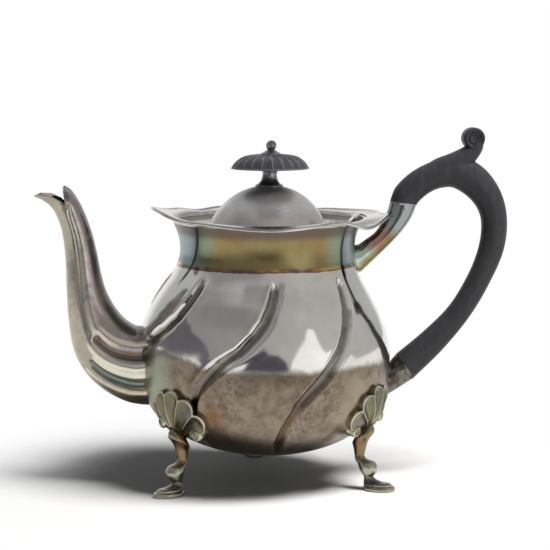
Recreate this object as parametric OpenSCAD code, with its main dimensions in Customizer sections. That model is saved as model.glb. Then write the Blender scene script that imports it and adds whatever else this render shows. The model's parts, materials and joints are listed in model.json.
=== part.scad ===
// Teapot with a melon body on three cast feet, a hinged lid and a black handle.
// The spout points to -X, the handle to +X, the front is -Y and the floor is z = 0.
// Heights inside the modules are measured from the underside of the body.

/* [Body] */
// Diameter of the belly
belly_d = 135.2; // [115:1:165]
// Height of the belly's widest line above the underside
belly_h = 51; // [42:1:62]
// Diameter of the flat disc under the body
base_d = 48; // [36:1:60]
// Diameter of the neck's waist
neck_d = 96.2; // [82:1:106]
// Height of the neck's waist
neck_h = 114; // [100:1:137]
// Diameter of the mouth at the top of the neck
mouth_d = 103.8; // [86:1:108]
// Height of the flare from the waist to the mouth
flare_h = 15.2; // [13:0.1:18]
// Thickness of the silver sheet
wall = 0.9; // [0.7:0.1:1.2]

/* [Rim] */
// Reach of the wavy lip beyond the mouth, at its widest
lip_reach = 15.7; // [11:0.1:19]
// Thickness of the rim's sheet
rim_t = 1.1; // [0.8:0.1:1.4]
// Diameter of the rolled bead on the lip
bead_d = 1.9; // [1.6:0.1:2.4]

/* [Strainer] */
// Diameter of each strainer hole behind the spout
strainer_d = 2.4; // [1.8:0.1:3]
// Distance between strainer holes
strainer_pitch = 4.4; // [4:0.1:5]

/* [Lid] */
// Height of the lid's dome above its flange
dome_h = 21.3; // [17:0.1:26]
// Radius of the dome's sphere
dome_r = 34.6; // [31:0.1:42]
// Thickness of the lid's flange
flange_t = 1.1; // [0.9:0.1:1.3]
// Gap between the flange's edge and the neck
flange_gap = 0.8; // [0.6:0.1:1.2]
// Depth of the bezel below the flange
bezel_h = 7.8; // [6:0.1:9.5]
// Gap between the bezel and the seat ring, which its swing needs
bezel_gap = 0.9; // [0.8:0.1:1.3]
// Width of the seat ring
seat_w = 3.6; // [2.8:0.1:4.4]
// Height of the seat ring
seat_t = 1.6; // [1.2:0.1:2]
// Height of the mouth above the seat
seat_drop = 2.5; // [2:0.1:3]
// Gap between the closed lid and its seat
seat_gap = 0.1; // [0.05:0.05:0.2]

/* [Hinge] */
// Outside diameter of the hinge barrel
barrel_d = 4.4; // [3.6:0.1:5]
// Diameter of the hinge pin
hinge_pin_d = 1.6; // [1.2:0.1:2]
// Running clearance round the pin, on the radius
pin_gap = 0.03; // [0.02:0.01:0.06]
// Length of the lid's knuckle
lid_knuckle = 8; // [6:0.5:10]
// Length of each knuckle on the pot
pot_knuckle = 6; // [4:0.5:7]
// Gap between knuckles
knuckle_gap = 0.25; // [0.15:0.05:0.4]

/* [Knob] */
// Diameter of the black disc
disc_d = 42.8; // [35:0.1:51]
// Thickness of the disc at its middle
disc_t = 8; // [6.6:0.1:9.6]
// Height of the silver stem under the disc
stem_h = 8; // [6.6:0.1:10]
// Diameter of the stem's foot
stem_foot_d = 15.4; // [12:0.1:18]
// Diameter of the stem's waist
stem_waist_d = 8; // [6.6:0.1:9.6]
// Diameter of the cap under the ball
cap_d = 11.2; // [9:0.1:13]
// Height of the cap
cap_h = 2.4; // [2:0.1:3]
// Diameter of the ball that heads the bolt
ball_d = 5.8; // [5:0.1:7]
// Diameter of the bolt
bolt_d = 3; // [2.5:0.1:3.6]
// Clearance round the bolt, on the radius
bolt_gap = 0.1; // [0.05:0.05:0.2]

/* [Spout] */
// Reach of the spout's lip beyond the belly
spout_reach = 60.4; // [50:0.1:73]
// Wall of the spout
spout_wall = 1.2; // [1:0.1:1.6]
// Half width of the spout's root across the pot
spout_root_w = 17; // [14:0.5:20]

/* [Handle] */
// Reach of the handle beyond the belly
handle_reach = 67.5; // [56:0.5:81]
// Half width of the handle across the pot
handle_w = 6.4; // [5.4:0.1:7.6]
// Wall of the silver sockets
socket_wall = 1; // [0.8:0.1:1.3]
// Clearance between a tenon and its socket
tenon_gap = 0.1; // [0.05:0.05:0.2]
// Diameter of the pins through the sockets
handle_pin_d = 2; // [1.6:0.1:2.4]
// Clearance round these pins, on the radius
handle_pin_gap = 0.03; // [0.02:0.01:0.06]

/* [Feet] */
// Height of the body's underside above the floor
foot_h = 16; // [13:0.5:19]
// Radius of the circle that the pads' centres stand on
foot_circle_r = 66.3; // [56:0.1:79]
// Length of a pad, pointing outwards
pad_l = 18.4; // [15:0.1:22]
// Width of a pad
pad_w = 13.2; // [11:0.1:16]
// Thickness of a pad's lowest step
pad_t = 2.8; // [2.2:0.1:3.4]
// Diameter of the knuckle in each leg
knuckle_d = 10.2; // [8.4:0.1:12]
// Reach of a shell up the body
shell_reach = 27; // [22:0.5:32]

/* [Hidden] */
$fn = 64;
// Gap left for solder between soldered pieces, and where flat cells lie on a curved wall,
// whose chords dip deeper on a wider belly
solder = 0.05;
curve_gap = 0.12 * max(1, pow(belly_d / 135.2, 2));

// Radii and heights that several pieces share
belly_r = belly_d / 2;
neck_r = neck_d / 2;
mouth_r = mouth_d / 2;
mouth_h = neck_h + flare_h;
seat_z = mouth_h - seat_drop;
flange_z = seat_z + seat_gap;
flange_top = flange_z + flange_t;
dome_top = flange_top + dome_h;
barrel_r = barrel_d / 2;
// The barrel's axis is just outside the flange and just above it
hinge_x = mouth_r - wall - 1;
hinge_z = flange_top + barrel_r + 0.4;
hinge_half = lid_knuckle / 2 + knuckle_gap + pot_knuckle;

// The top of the handle keeps clear of both the lip and the neck
handle_top_r = max(mouth_r + lip_reach, neck_r + 19.5);

// The box of the whole pot is centred over the origin
handle_tip = handle_top_r + handle_reach;
spout_tip = belly_r + spout_reach;
foot_tip = foot_circle_r + pad_l / 2;
axis_x = (spout_tip - handle_tip) / 2;
axis_y = (max(belly_r, mouth_r + lip_reach) - foot_tip) / 2;

// ---- curves -------------------------------------------------------------

function bezier(p, t) =
  pow(1 - t, 3) * p[0] + 3 * pow(1 - t, 2) * t * p[1] + 3 * (1 - t) * t * t * p[2] + pow(t, 3) * p[3];

function bezier_points(p, n) = [for (i = [0:n]) bezier(p, i / n)];

// Catmull-Rom curve through rows of any length, n steps from row to row
function smooth_row(rows, i, t) =
  let (
    a = rows[max(i - 1, 0)],
    b = rows[i],
    c = rows[min(i + 1, len(rows) - 1)],
    d = rows[min(i + 2, len(rows) - 1)]
  )
  0.5 * (2 * b + (c - a) * t + (2 * a - 5 * b + 4 * c - d) * t * t + (3 * b - a - 3 * c + d) * pow(t, 3));

function smooth_rows(rows, n) = concat(
  [for (i = [0:len(rows) - 2], k = [0:n - 1]) smooth_row(rows, i, k / n)],
  [rows[len(rows) - 1]]
);

// Outward unit normal of an outline that runs upwards, at point i
function outline_normal(pts, i) =
  let (d = pts[min(i + 1, len(pts) - 1)] - pts[max(i - 1, 0)])
  [d[1], -d[0]] / norm(d);

function offset_outline(pts, by) = [for (i = [0:len(pts) - 1]) pts[i] + by * outline_normal(pts, i)];

function reversed(list) = [for (i = [len(list) - 1:-1:0]) list[i]];

function ramp(t) = let (u = min(max(t, 0), 1)) u * u * (3 - 2 * u);

// ---- meshes -------------------------------------------------------------

// Two triangles for each cell between ring i and ring j of n points
function ring_faces(i, j, n) = [
  for (k = [0:n - 1], half = [0, 1])
    let (a = i * n + k, b = i * n + (k + 1) % n, c = j * n + k, d = j * n + (k + 1) % n)
    half == 0 ? [a, b, d] : [a, d, c]
];

// Strips from one half of an even ring to the other half
function cap_faces(ring) =
  let (n = len(ring))
  [
    for (k = [0:n / 2 - 2], half = [0, 1])
      let (a = ring[k], b = ring[k + 1], c = ring[n - 2 - k], d = ring[n - 1 - k])
      half == 0 ? [a, b, c] : [a, c, d]
  ];

// Rings joined in order, each end closed by strips
module capped_rings(rings) {
  n = len(rings[0]);
  m = len(rings);
  top = (m - 1) * n;
  polyhedron(
    points = [for (ring = rings) each ring],
    faces = concat(
      [for (i = [0:m - 2]) each ring_faces(i, i + 1, n)],
      cap_faces([for (k = [0:n - 1]) n - 1 - k]),
      cap_faces([for (k = [0:n - 1]) top + k])
    )
  );
}

// Rings joined in order, and the last to the first
module looped_rings(rings) {
  n = len(rings[0]);
  m = len(rings);
  polyhedron(
    points = [for (ring = rings) each ring],
    faces = [for (i = [0:m - 1]) each ring_faces(i, (i + 1) % m, n)]
  );
}

// A row holds two rail points in the XZ plane and a half width: [xo, zo, xi, zi, w]
function rail_centre(row) = [(row[0] + row[2]) / 2, 0, (row[1] + row[3]) / 2];

function rail_half(row) = [(row[0] - row[2]) / 2, 0, (row[1] - row[3]) / 2];

// An oval between the rails, drawn in by `inset`
function oval_ring(row, sides, inset = 0) =
  let (c = rail_centre(row), h = rail_half(row), k = (norm(h) - inset) / norm(h))
  [
    for (i = [0:sides - 1])
      let (a = 360 * i / sides)
      c + h * k * cos(a) + [0, (row[4] - inset) * sin(a), 0]
  ];

// ---- body ---------------------------------------------------------------

belly_curve = [[base_d / 2, 0], [base_d / 2 + 25, 6], [belly_r, belly_h - 32], [belly_r, belly_h]];
shoulder_curve = [[belly_r, belly_h], [belly_r, belly_h + 38.5], [neck_r, neck_h - 19], [neck_r, neck_h]];
neck_curve = [[neck_r, neck_h], [neck_r, neck_h + 6], [neck_r + 1.6, mouth_h - 4.5], [mouth_r, mouth_h]];

body_outline = concat(
  bezier_points(belly_curve, 14),
  [for (p = bezier_points(shoulder_curve, 14)) if (p[1] > belly_h) p],
  [for (p = bezier_points(neck_curve, 6)) if (p[1] > neck_h) p]
);
body_inside = offset_outline(body_outline, -wall);
radius_table = [for (p = body_outline) [p[1], p[0]]];
inside_table = [for (p = body_inside) [p[1], p[0]]];

function outside_r(z) = lookup(z, radius_table);
function inside_r(z) = lookup(z, inside_table);

// Everything is made round the body's own axis and then stood on the floor
module place() translate([axis_x, axis_y, foot_h]) children();

// Room for the hinge at the handle side of the mouth
notch_x = mouth_r + 2.4;
notch_gap = 0.1;
notch_z = hinge_z - barrel_r - 0.3;
notch_h = 8;

module hinge_notch() {
  translate([hinge_x - 1, -hinge_half - notch_gap, notch_z])
    cube([notch_x - hinge_x + 1, 2 * (hinge_half + notch_gap), notch_h]);
}

// The middle of the strainer, behind the middle of the spout's root
strainer_z = belly_h + 2;

module body() color("lightgray") place() difference() {
  rotate_extrude() polygon(concat(
    [[0, 0]], body_outline,
    [[body_inside[len(body_inside) - 1][0], mouth_h]],
    [for (i = [len(body_inside) - 2:-1:0]) body_inside[i]],
    [[0, wall]]
  ));
  for (row = [-2:2], i = [0:4 - abs(row)])
    translate([0, (i - (4 - abs(row)) / 2) * strainer_pitch, strainer_z + row * strainer_pitch * sin(60)])
      rotate([0, -90, 0]) cylinder(d = strainer_d, h = belly_r + 2, $fn = 24);
  hinge_notch();
}

// ---- rim ----------------------------------------------------------------

// The lip's wave: angle from the front towards the handle, reach as a share, height from the mouth
lip_wave = [
  [-85, 0.87, 4.6], [-48, 0.64, 2.0], [-5, 0.93, 0.1], [33, 0.68, 2.4], [50, 0.86, -1.0],
  [76, 1.00, 3.3], [90, 0.74, 3.0], [104, 0.95, 2.6], [135, 0.71, 2.0], [165, 0.90, 0],
  [200, 0.72, 2.2], [212, 0.80, 1.2], [231, 0.72, 2.9], [275, 0.87, 4.6]
];

function lip_row(a, i = 0) = a <= lip_wave[i + 1][0] ? i : lip_row(a, i + 1);

// Reach and height of the lip at an angle, easing from one row of the wave to the next
function lip_at(a) =
  let (
    i = lip_row(a),
    p = lip_wave[i],
    q = lip_wave[i + 1],
    t = ramp((a - p[0]) / (q[0] - p[0]))
  )
  [mouth_r + lip_reach * (p[1] + (q[1] - p[1]) * t), mouth_h + p[2] + (q[2] - p[2]) * t];

rim_steps = 72;
brim_steps = 5;

// The rim's cut outline at an angle: under side, rolled bead, upper side, and the foot on the neck
function rim_section(a) =
  let (
    lip = lip_at(a),
    bead = lip - [bead_d / 2, 0],
    start = [mouth_r, mouth_h + rim_t / 2],
    at = [for (k = [1:brim_steps]) let (t = 0.92 * k / brim_steps)
      [start[0] + (bead[0] - start[0]) * t, start[1] + (bead[1] - start[1]) * pow(t, 1.3)]]
  )
  concat(
    [[mouth_r, mouth_h]],
    [for (p = at) p - [0, rim_t / 2]],
    [for (b = [-100:50:100]) bead + bead_d / 2 * [cos(b), sin(b)]],
    [for (p = reversed(at)) p + [0, rim_t / 2]],
    [[mouth_r - wall, mouth_h + rim_t], [mouth_r - wall, mouth_h]]
  );

module rim_border() color("silver") place() difference() {
  looped_rings([
    for (i = [0:rim_steps - 1]) let (a = lip_wave[0][0] + 360 * i / rim_steps)
      [for (p = rim_section(a)) [p[0] * sin(a), -p[0] * cos(a), p[1]]]
  ]);
  hinge_notch();
}

// ---- lid seat -----------------------------------------------------------

module lid_seat_ring() color("silver") place() rotate_extrude() polygon([
  [inside_r(seat_z) - seat_w, seat_z],
  [inside_r(seat_z) - seat_w, seat_z - seat_t],
  [inside_r(seat_z - seat_t) - solder, seat_z - seat_t],
  [inside_r(seat_z) - solder, seat_z]
]);

// ---- spout --------------------------------------------------------------

// Rails of the spout: out from the belly, up from the underside, outer then inner, and half width
spout_drawn = [
  [-1.4, 28.0, 1.9, 72.2, 1.00],
  [10.4, 30.2, 5.9, 73.0, 0.98],
  [22.4, 36.6, 10.9, 76.4, 0.92],
  [32.4, 46.0, 15.4, 81.6, 0.84],
  [39.2, 59.0, 19.0, 87.4, 0.74],
  [42.0, 76.0, 21.8, 93.8, 0.66],
  [42.9, 94.0, 24.0, 102.5, 0.58],
  [43.4, 111.0, 26.2, 114.0, 0.52],
  [45.3, 126.0, 29.2, 126.0, 0.48],
  [49.6, 136.5, 34.0, 138.3, 0.46],
  [54.9, 141.0, 39.2, 146.0, 0.44],
  [60.4, 143.1, 43.4, 148.8, 0.40]
];
spout_drawn_reach = 60.4;
spout_drawn_belly_h = 51;
spout_drawn_mouth_h = 129.2;
spout_sides = 24;
spout_steps = 3;

function spout_x(u) = -(belly_r + u * spout_reach / spout_drawn_reach);

// The drawn heights keep their place between the underside, the belly's widest line and the mouth
function spout_z(v) =
  v < spout_drawn_belly_h
    ? v * belly_h / spout_drawn_belly_h
    : belly_h + (v - spout_drawn_belly_h) * (mouth_h - belly_h) / (spout_drawn_mouth_h - spout_drawn_belly_h);

spout_rows = smooth_rows(
  [for (r = spout_drawn) [spout_x(r[0]), spout_z(r[1]), spout_x(r[2]), spout_z(r[3]), r[4] * spout_root_w]],
  spout_steps
);

// The mouth dips at its sides between the lower lip and the pointed hood
mouth_dip = 5.6;
mouth_back = 5.5;
// Eight lobes at the root, which fade as the spout narrows
lobe_depth = 0.05;

function spout_ring(i, inset = 0) =
  let (
    s = i / (len(spout_rows) - 1),
    row = spout_rows[i],
    ring = oval_ring(row, spout_sides, inset),
    centre = rail_centre(row),
    lobes = lobe_depth * ramp(1 - s / 0.5),
    open = ramp((s - 0.75) / 0.25)
  )
  [
    for (k = [0:spout_sides - 1])
      let (
        a = 360 * k / spout_sides,
        side = pow(sin(a), 2),
        p = centre + (ring[k] - centre) * (1 + lobes * (cos(8 * a) - 1) / 2)
      )
      p + open * side * [mouth_back, 0, -mouth_dip]
  ];

// The root's ring lies on the body
function root_ring(ring, side) = [
  for (p = ring) [side * (sqrt(pow(outside_r(p[2]), 2) - p[1] * p[1]) + curve_gap), p[1], p[2]]
];

module spout() color("darkgray") place() {
  last = len(spout_rows) - 1;
  looped_rings(concat(
    [root_ring(spout_ring(0), -1)],
    [for (i = [1:last]) spout_ring(i)],
    [for (i = [last:-1:1]) spout_ring(i, spout_wall)],
    [root_ring(spout_ring(0, spout_wall), -1)]
  ));
}

// ---- handle -------------------------------------------------------------

// Rails: out from the pot, up from the underside, outer then inner, and share of the half width
handle_drawn = [
  [1.1, 140.0, 16.0, 137.9, 0.97],
  [4.6, 148.0, 18.9, 141.0, 1.00],
  [14.0, 156.4, 24.2, 144.8, 1.03],
  [27.0, 162.3, 30.0, 146.8, 1.06],
  [41.2, 164.0, 36.6, 146.8, 1.08],
  [53.8, 157.8, 44.6, 142.0, 1.06],
  [63.4, 145.0, 50.4, 135.2, 1.03],
  [67.5, 129.3, 52.9, 126.5, 1.00],
  [65.8, 112.0, 51.6, 113.8, 0.97],
  [58.4, 94.2, 46.0, 98.6, 0.95],
  [47.2, 75.1, 35.4, 81.0, 0.94],
  [31.8, 56.3, 21.2, 66.9, 0.94],
  [15.1, 40.2, 5.2, 53.9, 0.97]
];
upper_socket_drawn = [
  [-15.8, 100.0, -17.2, 115.4, 1.05],
  [-7.6, 107.7, -12.6, 118.6, 0.90],
  [0.9, 115.8, -7.1, 122.8, 0.84],
  [7.9, 123.2, -2.8, 129.5, 0.88],
  [12.9, 130.4, -0.3, 134.6, 0.93],
  [16.0, 137.8, 1.1, 139.9, 0.97]
];
lower_socket_drawn = [
  [-1.6, 30.0, 1.6, 49.4, 1.10],
  [6.6, 34.8, 3.2, 51.6, 1.02],
  [15.1, 40.1, 5.2, 53.8, 0.97]
];
handle_drawn_reach = 67.5;
handle_drawn_low = 47;
handle_drawn_high = 139;
// The handle's two joints follow the belly and the neck
handle_low = belly_h - 4;
handle_high = neck_h + 25;
handle_sides = 16;
socket_sides = 20;

// The rails start from the belly at the bottom, and from the top's own radius higher up
function handle_x(u, v) =
  let (share = ramp((v - handle_drawn_low) / (handle_drawn_high - handle_drawn_low) / 0.7))
  belly_r + (handle_top_r - belly_r) * share + u * (u > 0 ? handle_reach / handle_drawn_reach : 1);
// The crown above the upper joint keeps its own height, which the lid's swing needs
function handle_z(v) =
  v > handle_drawn_high
    ? handle_high + v - handle_drawn_high
    : handle_low + (v - handle_drawn_low) * (handle_high - handle_low) / (handle_drawn_high - handle_drawn_low);
function handle_row(r) = [
  handle_x(r[0], r[1]), handle_z(r[1]),
  handle_x(r[2], r[3]), handle_z(r[3]),
  r[4] * handle_w
];

handle_rows = smooth_rows([for (r = handle_drawn) handle_row(r)], 3);
upper_rows = smooth_rows([for (r = upper_socket_drawn) handle_row(r)], 4);
lower_rows = smooth_rows([for (r = lower_socket_drawn) handle_row(r)], 5);

// How far along its socket each tenon reaches, in rows
upper_tenon = [for (i = [len(upper_rows) - 8:len(upper_rows) - 1]) upper_rows[i]];
lower_tenon = [for (i = [4:len(lower_rows) - 1]) lower_rows[i]];
tenon_inset = socket_wall + tenon_gap;

// The upper socket's outer rail runs into the handle's inner rail
function rails_swapped(r) = [r[2], r[3], r[0], r[1], r[4]];

// A pin goes through the middle of each tenon
upper_pin_at = (rail_centre(upper_tenon[4]) + rail_centre(upper_tenon[5])) / 2;
lower_pin_at = rail_centre(lower_tenon[3]);
handle_pin_l = 2 * handle_w * 0.97 + 0.6;

module handle_pin(at) {
  translate(at) rotate([90, 0, 0]) cylinder(d = handle_pin_d, h = handle_pin_l, center = true);
}

module handle_pin_bore(at) {
  bore_d = handle_pin_d + 2 * handle_pin_gap;
  translate(at) rotate([90, 0, 0]) cylinder(d = bore_d, h = handle_pin_l + 10, center = true);
}

scroll_r = 6.1;
scroll_w = 1.56 * handle_w;

module thumb_scroll() {
  // A leaf that rises from the top of the handle and curls back to a ball
  leaf = smooth_rows([for (r = [
    [26.0, 163.2, 36.0, 152.0, 0.72],
    [37.0, 165.6, 48.5, 158.0, 0.74],
    [43.6, 168.4, 51.8, 163.5, 0.72],
    [46.6, 171.6, 54.9, 169.0, 0.70]
  ]) handle_row(r)], 3);
  capped_rings([for (r = leaf) oval_ring(r, handle_sides)]);
  translate([handle_x(49.0, 174.3), scroll_w / 2, handle_z(174.3)])
    rotate([90, 0, 0]) cylinder(r = scroll_r, h = scroll_w, $fn = 40);
}

module handle() color("dimgray") place() difference() {
  // The scroll and the grip are one carving, so they are blended as one mesh
  resize([0, 0, 0]) union() {
    capped_rings(concat(
      [for (r = upper_tenon) oval_ring(rails_swapped(r), handle_sides, tenon_inset)],
      [for (r = handle_rows) oval_ring(r, handle_sides)],
      [for (r = reversed(lower_tenon)) oval_ring(r, handle_sides, tenon_inset)]
    ));
    thumb_scroll();
  }
  handle_pin_bore(upper_pin_at);
  handle_pin_bore(lower_pin_at);
}

// A hollow socket from the body to its joint with the handle
module socket(rows, pin_at) {
  last = len(rows) - 1;
  difference() {
    looped_rings(concat(
      [root_ring(oval_ring(rows[0], socket_sides), 1)],
      [for (i = [1:last]) oval_ring(rows[i], socket_sides)],
      [for (i = [last:-1:1]) oval_ring(rows[i], socket_sides, socket_wall)],
      [root_ring(oval_ring(rows[0], socket_sides, socket_wall), 1)]
    ));
    handle_pin_bore(pin_at);
  }
}

module upper_handle_socket() color("tan") place() socket(upper_rows, upper_pin_at);
module lower_handle_socket() color("gray") place() socket(lower_rows, lower_pin_at);
module upper_handle_pin() color("silver") place() handle_pin(upper_pin_at);
module lower_handle_pin() color("silver") place() handle_pin(lower_pin_at);

// ---- feet ---------------------------------------------------------------

shell_z = 11;
shell_spread = 60;
shell_ribs = 7;
shell_t = 2;
shell_columns = 28;
shell_rows_n = 5;

// 1 on each rib and 0 in each groove
function rib_wave(a) = abs(cos(a * 90 * shell_ribs / shell_spread));

// A point on the scallop shell: s from its root to its edge, a across it, off the body by `off`
function shell_point(s, a, off) =
  let (
    scallop = 1 + 0.05 * rib_wave(a) - 0.22 * pow(a / shell_spread, 2),
    reach = 3 + (shell_reach * scallop - 3) * s,
    z = shell_z + reach * cos(a) * 0.93,
    across = reach * sin(a),
    slope = (outside_r(z + 0.5) - outside_r(z - 0.5)),
    n = [1, -slope] / norm([1, -slope]),
    r = outside_r(z) + off * n[0],
    turn = across / r * 180 / PI
  )
  [r * sin(turn), -r * cos(turn), z + off * n[1]];

// Height of the shell's top face: thinner at its edge, and ribbed
function rib(s, a) =
  shell_t * (1 - 0.45 * s) + 0.5 * (rib_wave(a) - 0.5) * s;

module shell_plate() {
  angles = [for (i = [0:shell_columns]) shell_spread * (2 * i / shell_columns - 1)];
  steps = [for (k = [0:shell_rows_n]) k / shell_rows_n];
  // Each ring goes out over the top face and back along the body
  capped_rings([
    for (a = angles) concat(
      [for (s = steps) shell_point(s, a, rib(s, a))],
      [for (s = reversed(steps)) shell_point(s, a, 2.5 * curve_gap)]
    )
  ]);
}

// Rails of the leg in its own upright plane: outer r, z, inner r, z, half width; z from the floor
function leg_rows() = [
  [outside_r(19) + 2.4, foot_h + 19, outside_r(11.5) + 2.6, foot_h + 10.6, 3.6],
  [outside_r(14.5) + 4.9, foot_h + 14.5, outside_r(9.5) + 3.3, foot_h + 9.5, 3.9],
  [max(foot_circle_r - 7.8, outside_r(9) + 7), foot_h + 9,
    max(foot_circle_r - 14.4, outside_r(7.6) + 1.4), foot_h + 7.6, 3.1],
  [foot_circle_r - 6.6, foot_h + 3.4, foot_circle_r - 12, foot_h + 2.6, 2.9],
  [foot_circle_r - 1.8, knee_z + 2.4, foot_circle_r - 10.2, knee_z + 0.6, 4.4],
  [foot_circle_r - 1.2, knee_z - 0.8, foot_circle_r - 11, knee_z - 0.8, knuckle_d / 2],
  [foot_circle_r - 2.6, knee_z - 4.2, foot_circle_r - 9, knee_z - 4.4, 3.4],
  [foot_circle_r + 0.6, pad_t + 2.6, foot_circle_r - 7.6, pad_t + 1.4, 3.8],
  [foot_circle_r + 3.2, pad_t - 0.6, foot_circle_r - 7.6, pad_t - 0.6, 4.4]
];
knee_z = 14;
pad_points = 32;

// One step of the pad, an oval that points outwards
module pad_step(grow, from, to) {
  translate([0, -foot_circle_r, from]) linear_extrude(height = to - from)
    polygon([for (i = [0:pad_points - 1]) let (a = 360 * i / pad_points)
      [(pad_w / 2 - grow) * cos(a), (pad_l / 2 - grow) * sin(a)]]);
}

module foot(angle) translate([axis_x, axis_y, 0]) rotate([0, 0, angle]) {
  translate([0, 0, foot_h]) shell_plate();
  capped_rings([
    for (r = smooth_rows(leg_rows(), 3))
      [for (p = oval_ring(r, 14)) [p[1], -p[0], p[2]]]
  ]);
  pad_step(0, 0, pad_t);
  pad_step(1.6, pad_t, pad_t + 1.3);
}

module front_left_foot() color("darkkhaki") foot(-60);
module front_right_foot() color("darkkhaki") foot(60);
module back_foot() color("darkkhaki") foot(180);

// ---- lid ----------------------------------------------------------------

// The dome is part of a sphere, joined to the flange by a small fillet
dome_centre_z = dome_top - dome_r;
dome_foot_r = sqrt(dome_r * dome_r - pow(flange_top - dome_centre_z, 2));
// The flange passes the narrowest part of the wall between its seat and the mouth
flange_r = min(inside_r(seat_z), inside_r(mouth_h)) - flange_gap;
bezel_r = inside_r(seat_z) - seat_w - bezel_gap;
fillet = 2.5;

function dome_z(r, radius = dome_r) = dome_centre_z + sqrt(radius * radius - r * r);

// The fillet's circle touches the flange's top and the outside of the dome
fillet_z = flange_top + fillet;
fillet_r = sqrt(pow(dome_r + fillet, 2) - pow(fillet_z - dome_centre_z, 2));
fillet_end = atan2(fillet_z - dome_centre_z, fillet_r);

// A point on the dome's outline, from the fillet up to the middle
function dome_arc(t, radius) =
  let (a = fillet_end + t * (90 - fillet_end))
  [radius * cos(a), dome_centre_z + radius * sin(a)];

module lid() color("lightgray") place() difference() {
  rotate_extrude() polygon(concat(
    [[flange_r, flange_z], [flange_r, flange_top]],
    [
      for (i = [0:6]) let (a = 270 - i * (90 - fillet_end) / 6)
        [fillet_r, fillet_z] + fillet * [cos(a), sin(a)]
    ],
    [for (i = [1:12]) dome_arc(i / 12, dome_r)],
    [for (i = [12:-1:0]) dome_arc(i / 12, dome_r - wall)],
    [[dome_foot_r - 0.4, flange_z]]
  ));
  cylinder(r = bolt_d / 2 + bolt_gap, h = dome_top + 1, $fn = 32);
}

module lid_bezel() color("silver") place() rotate_extrude() polygon([
  [bezel_r - wall, flange_z - bezel_h],
  [bezel_r, flange_z - bezel_h],
  [bezel_r, flange_z],
  [bezel_r - wall, flange_z]
]);

// ---- hinge --------------------------------------------------------------

leaf_t = 1.1;
leaf_lift = 0.02;

module knuckle(from, to, bore_d) {
  translate([hinge_x, to, hinge_z]) rotate([90, 0, 0]) difference() {
    cylinder(r = barrel_r, h = to - from, $fn = 48);
    translate([0, 0, -1]) cylinder(d = bore_d, h = to - from + 2, $fn = 48);
  }
}

// Half of the leaf's outline, which has a serrated edge like a leaf
leaf_drawn = [
  [0, 4], [-3.4, 9.6], [-5.6, 8.8], [-6.2, 7.2], [-8.4, 6.6],
  [-9, 4.8], [-10.8, 3.8], [-11.2, 1.8], [-12.2, 0]
];
leaf_drawn_l = 12.2;
// The leaf starts clear of the pot's knuckles and its tip stays clear of the dome
leaf_start = 3.5;
leaf_l = min(leaf_drawn_l, hinge_x - leaf_start - fillet_r + 0.6);
leaf_outline = [for (p = leaf_drawn) [p[0] * leaf_l / leaf_drawn_l, p[1]]];

module lid_hinge_leaf() color("silver") place() {
  knuckle(-lid_knuckle / 2, lid_knuckle / 2, hinge_pin_d + 2 * pin_gap);
  difference() {
    union() {
      translate([hinge_x - leaf_start - 0.5, -lid_knuckle / 2, flange_top + leaf_lift])
        cube([leaf_start + 0.5, lid_knuckle, leaf_t]);
      translate([hinge_x, 0, flange_top + leaf_lift]) linear_extrude(height = leaf_t) polygon(concat(
        [for (p = leaf_outline) p - [leaf_start, 0]],
        [for (p = reversed(leaf_outline)) if (p[1] > 0) [p[0] - leaf_start, -p[1]]]
      ));
    }
    translate([hinge_x, lid_knuckle, hinge_z]) rotate([90, 0, 0])
      cylinder(r = barrel_r - 0.4, h = 2 * lid_knuckle, $fn = 48);
  }
}

// The web that joins the pot's knuckles, clear of the lid's knuckle
web_z = hinge_z - barrel_r + 0.3;
swing_gap = 0.5;

module pot_hinge_leaf() color("silver") place() {
  for (side = [-1, 1]) mirror([0, side < 0 ? 1 : 0, 0]) {
    knuckle(lid_knuckle / 2 + knuckle_gap, hinge_half, hinge_pin_d);
    difference() {
      translate([hinge_x, lid_knuckle / 2 + knuckle_gap, web_z])
        cube([notch_x - notch_gap - hinge_x, pot_knuckle, barrel_r]);
      translate([hinge_x, hinge_half + 1, hinge_z]) rotate([90, 0, 0])
        cylinder(r = barrel_r - 0.4, h = hinge_half + 2, $fn = 48);
    }
  }
  translate([hinge_x + barrel_r + swing_gap, -hinge_half, web_z])
    cube([notch_x - notch_gap - hinge_x - barrel_r - swing_gap, 2 * hinge_half, barrel_r]);
}

module hinge_pin() color("gray") place()
  translate([hinge_x, hinge_half, hinge_z]) rotate([90, 0, 0])
    cylinder(d = hinge_pin_d, h = 2 * hinge_half, $fn = 48);

// ---- knob ---------------------------------------------------------------

bolt_r = bolt_d / 2;
bore_r = bolt_r + bolt_gap;
stem_top = dome_top + stem_h;
disc_top = stem_top + disc_t;
cap_top = disc_top + cap_h;
ball_z = cap_top + ball_d / 2 - 0.5;

module knob_stem() color("gray") place() rotate_extrude() polygon(concat(
  [for (i = [0:4]) let (r = bore_r + (stem_foot_d / 2 - bore_r) * i / 4) [r, dome_z(r) + solder]],
  bezier_points([
    [stem_foot_d / 2, dome_z(stem_foot_d / 2) + 0.8],
    [stem_waist_d / 2 + 1, dome_top + 0.4],
    [stem_waist_d / 2 - 0.4, dome_top + stem_h * 0.4],
    [stem_waist_d / 2, dome_top + stem_h * 0.6]
  ], 8),
  [[stem_waist_d / 2 + 0.9, stem_top], [bore_r, stem_top]]
));

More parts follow.
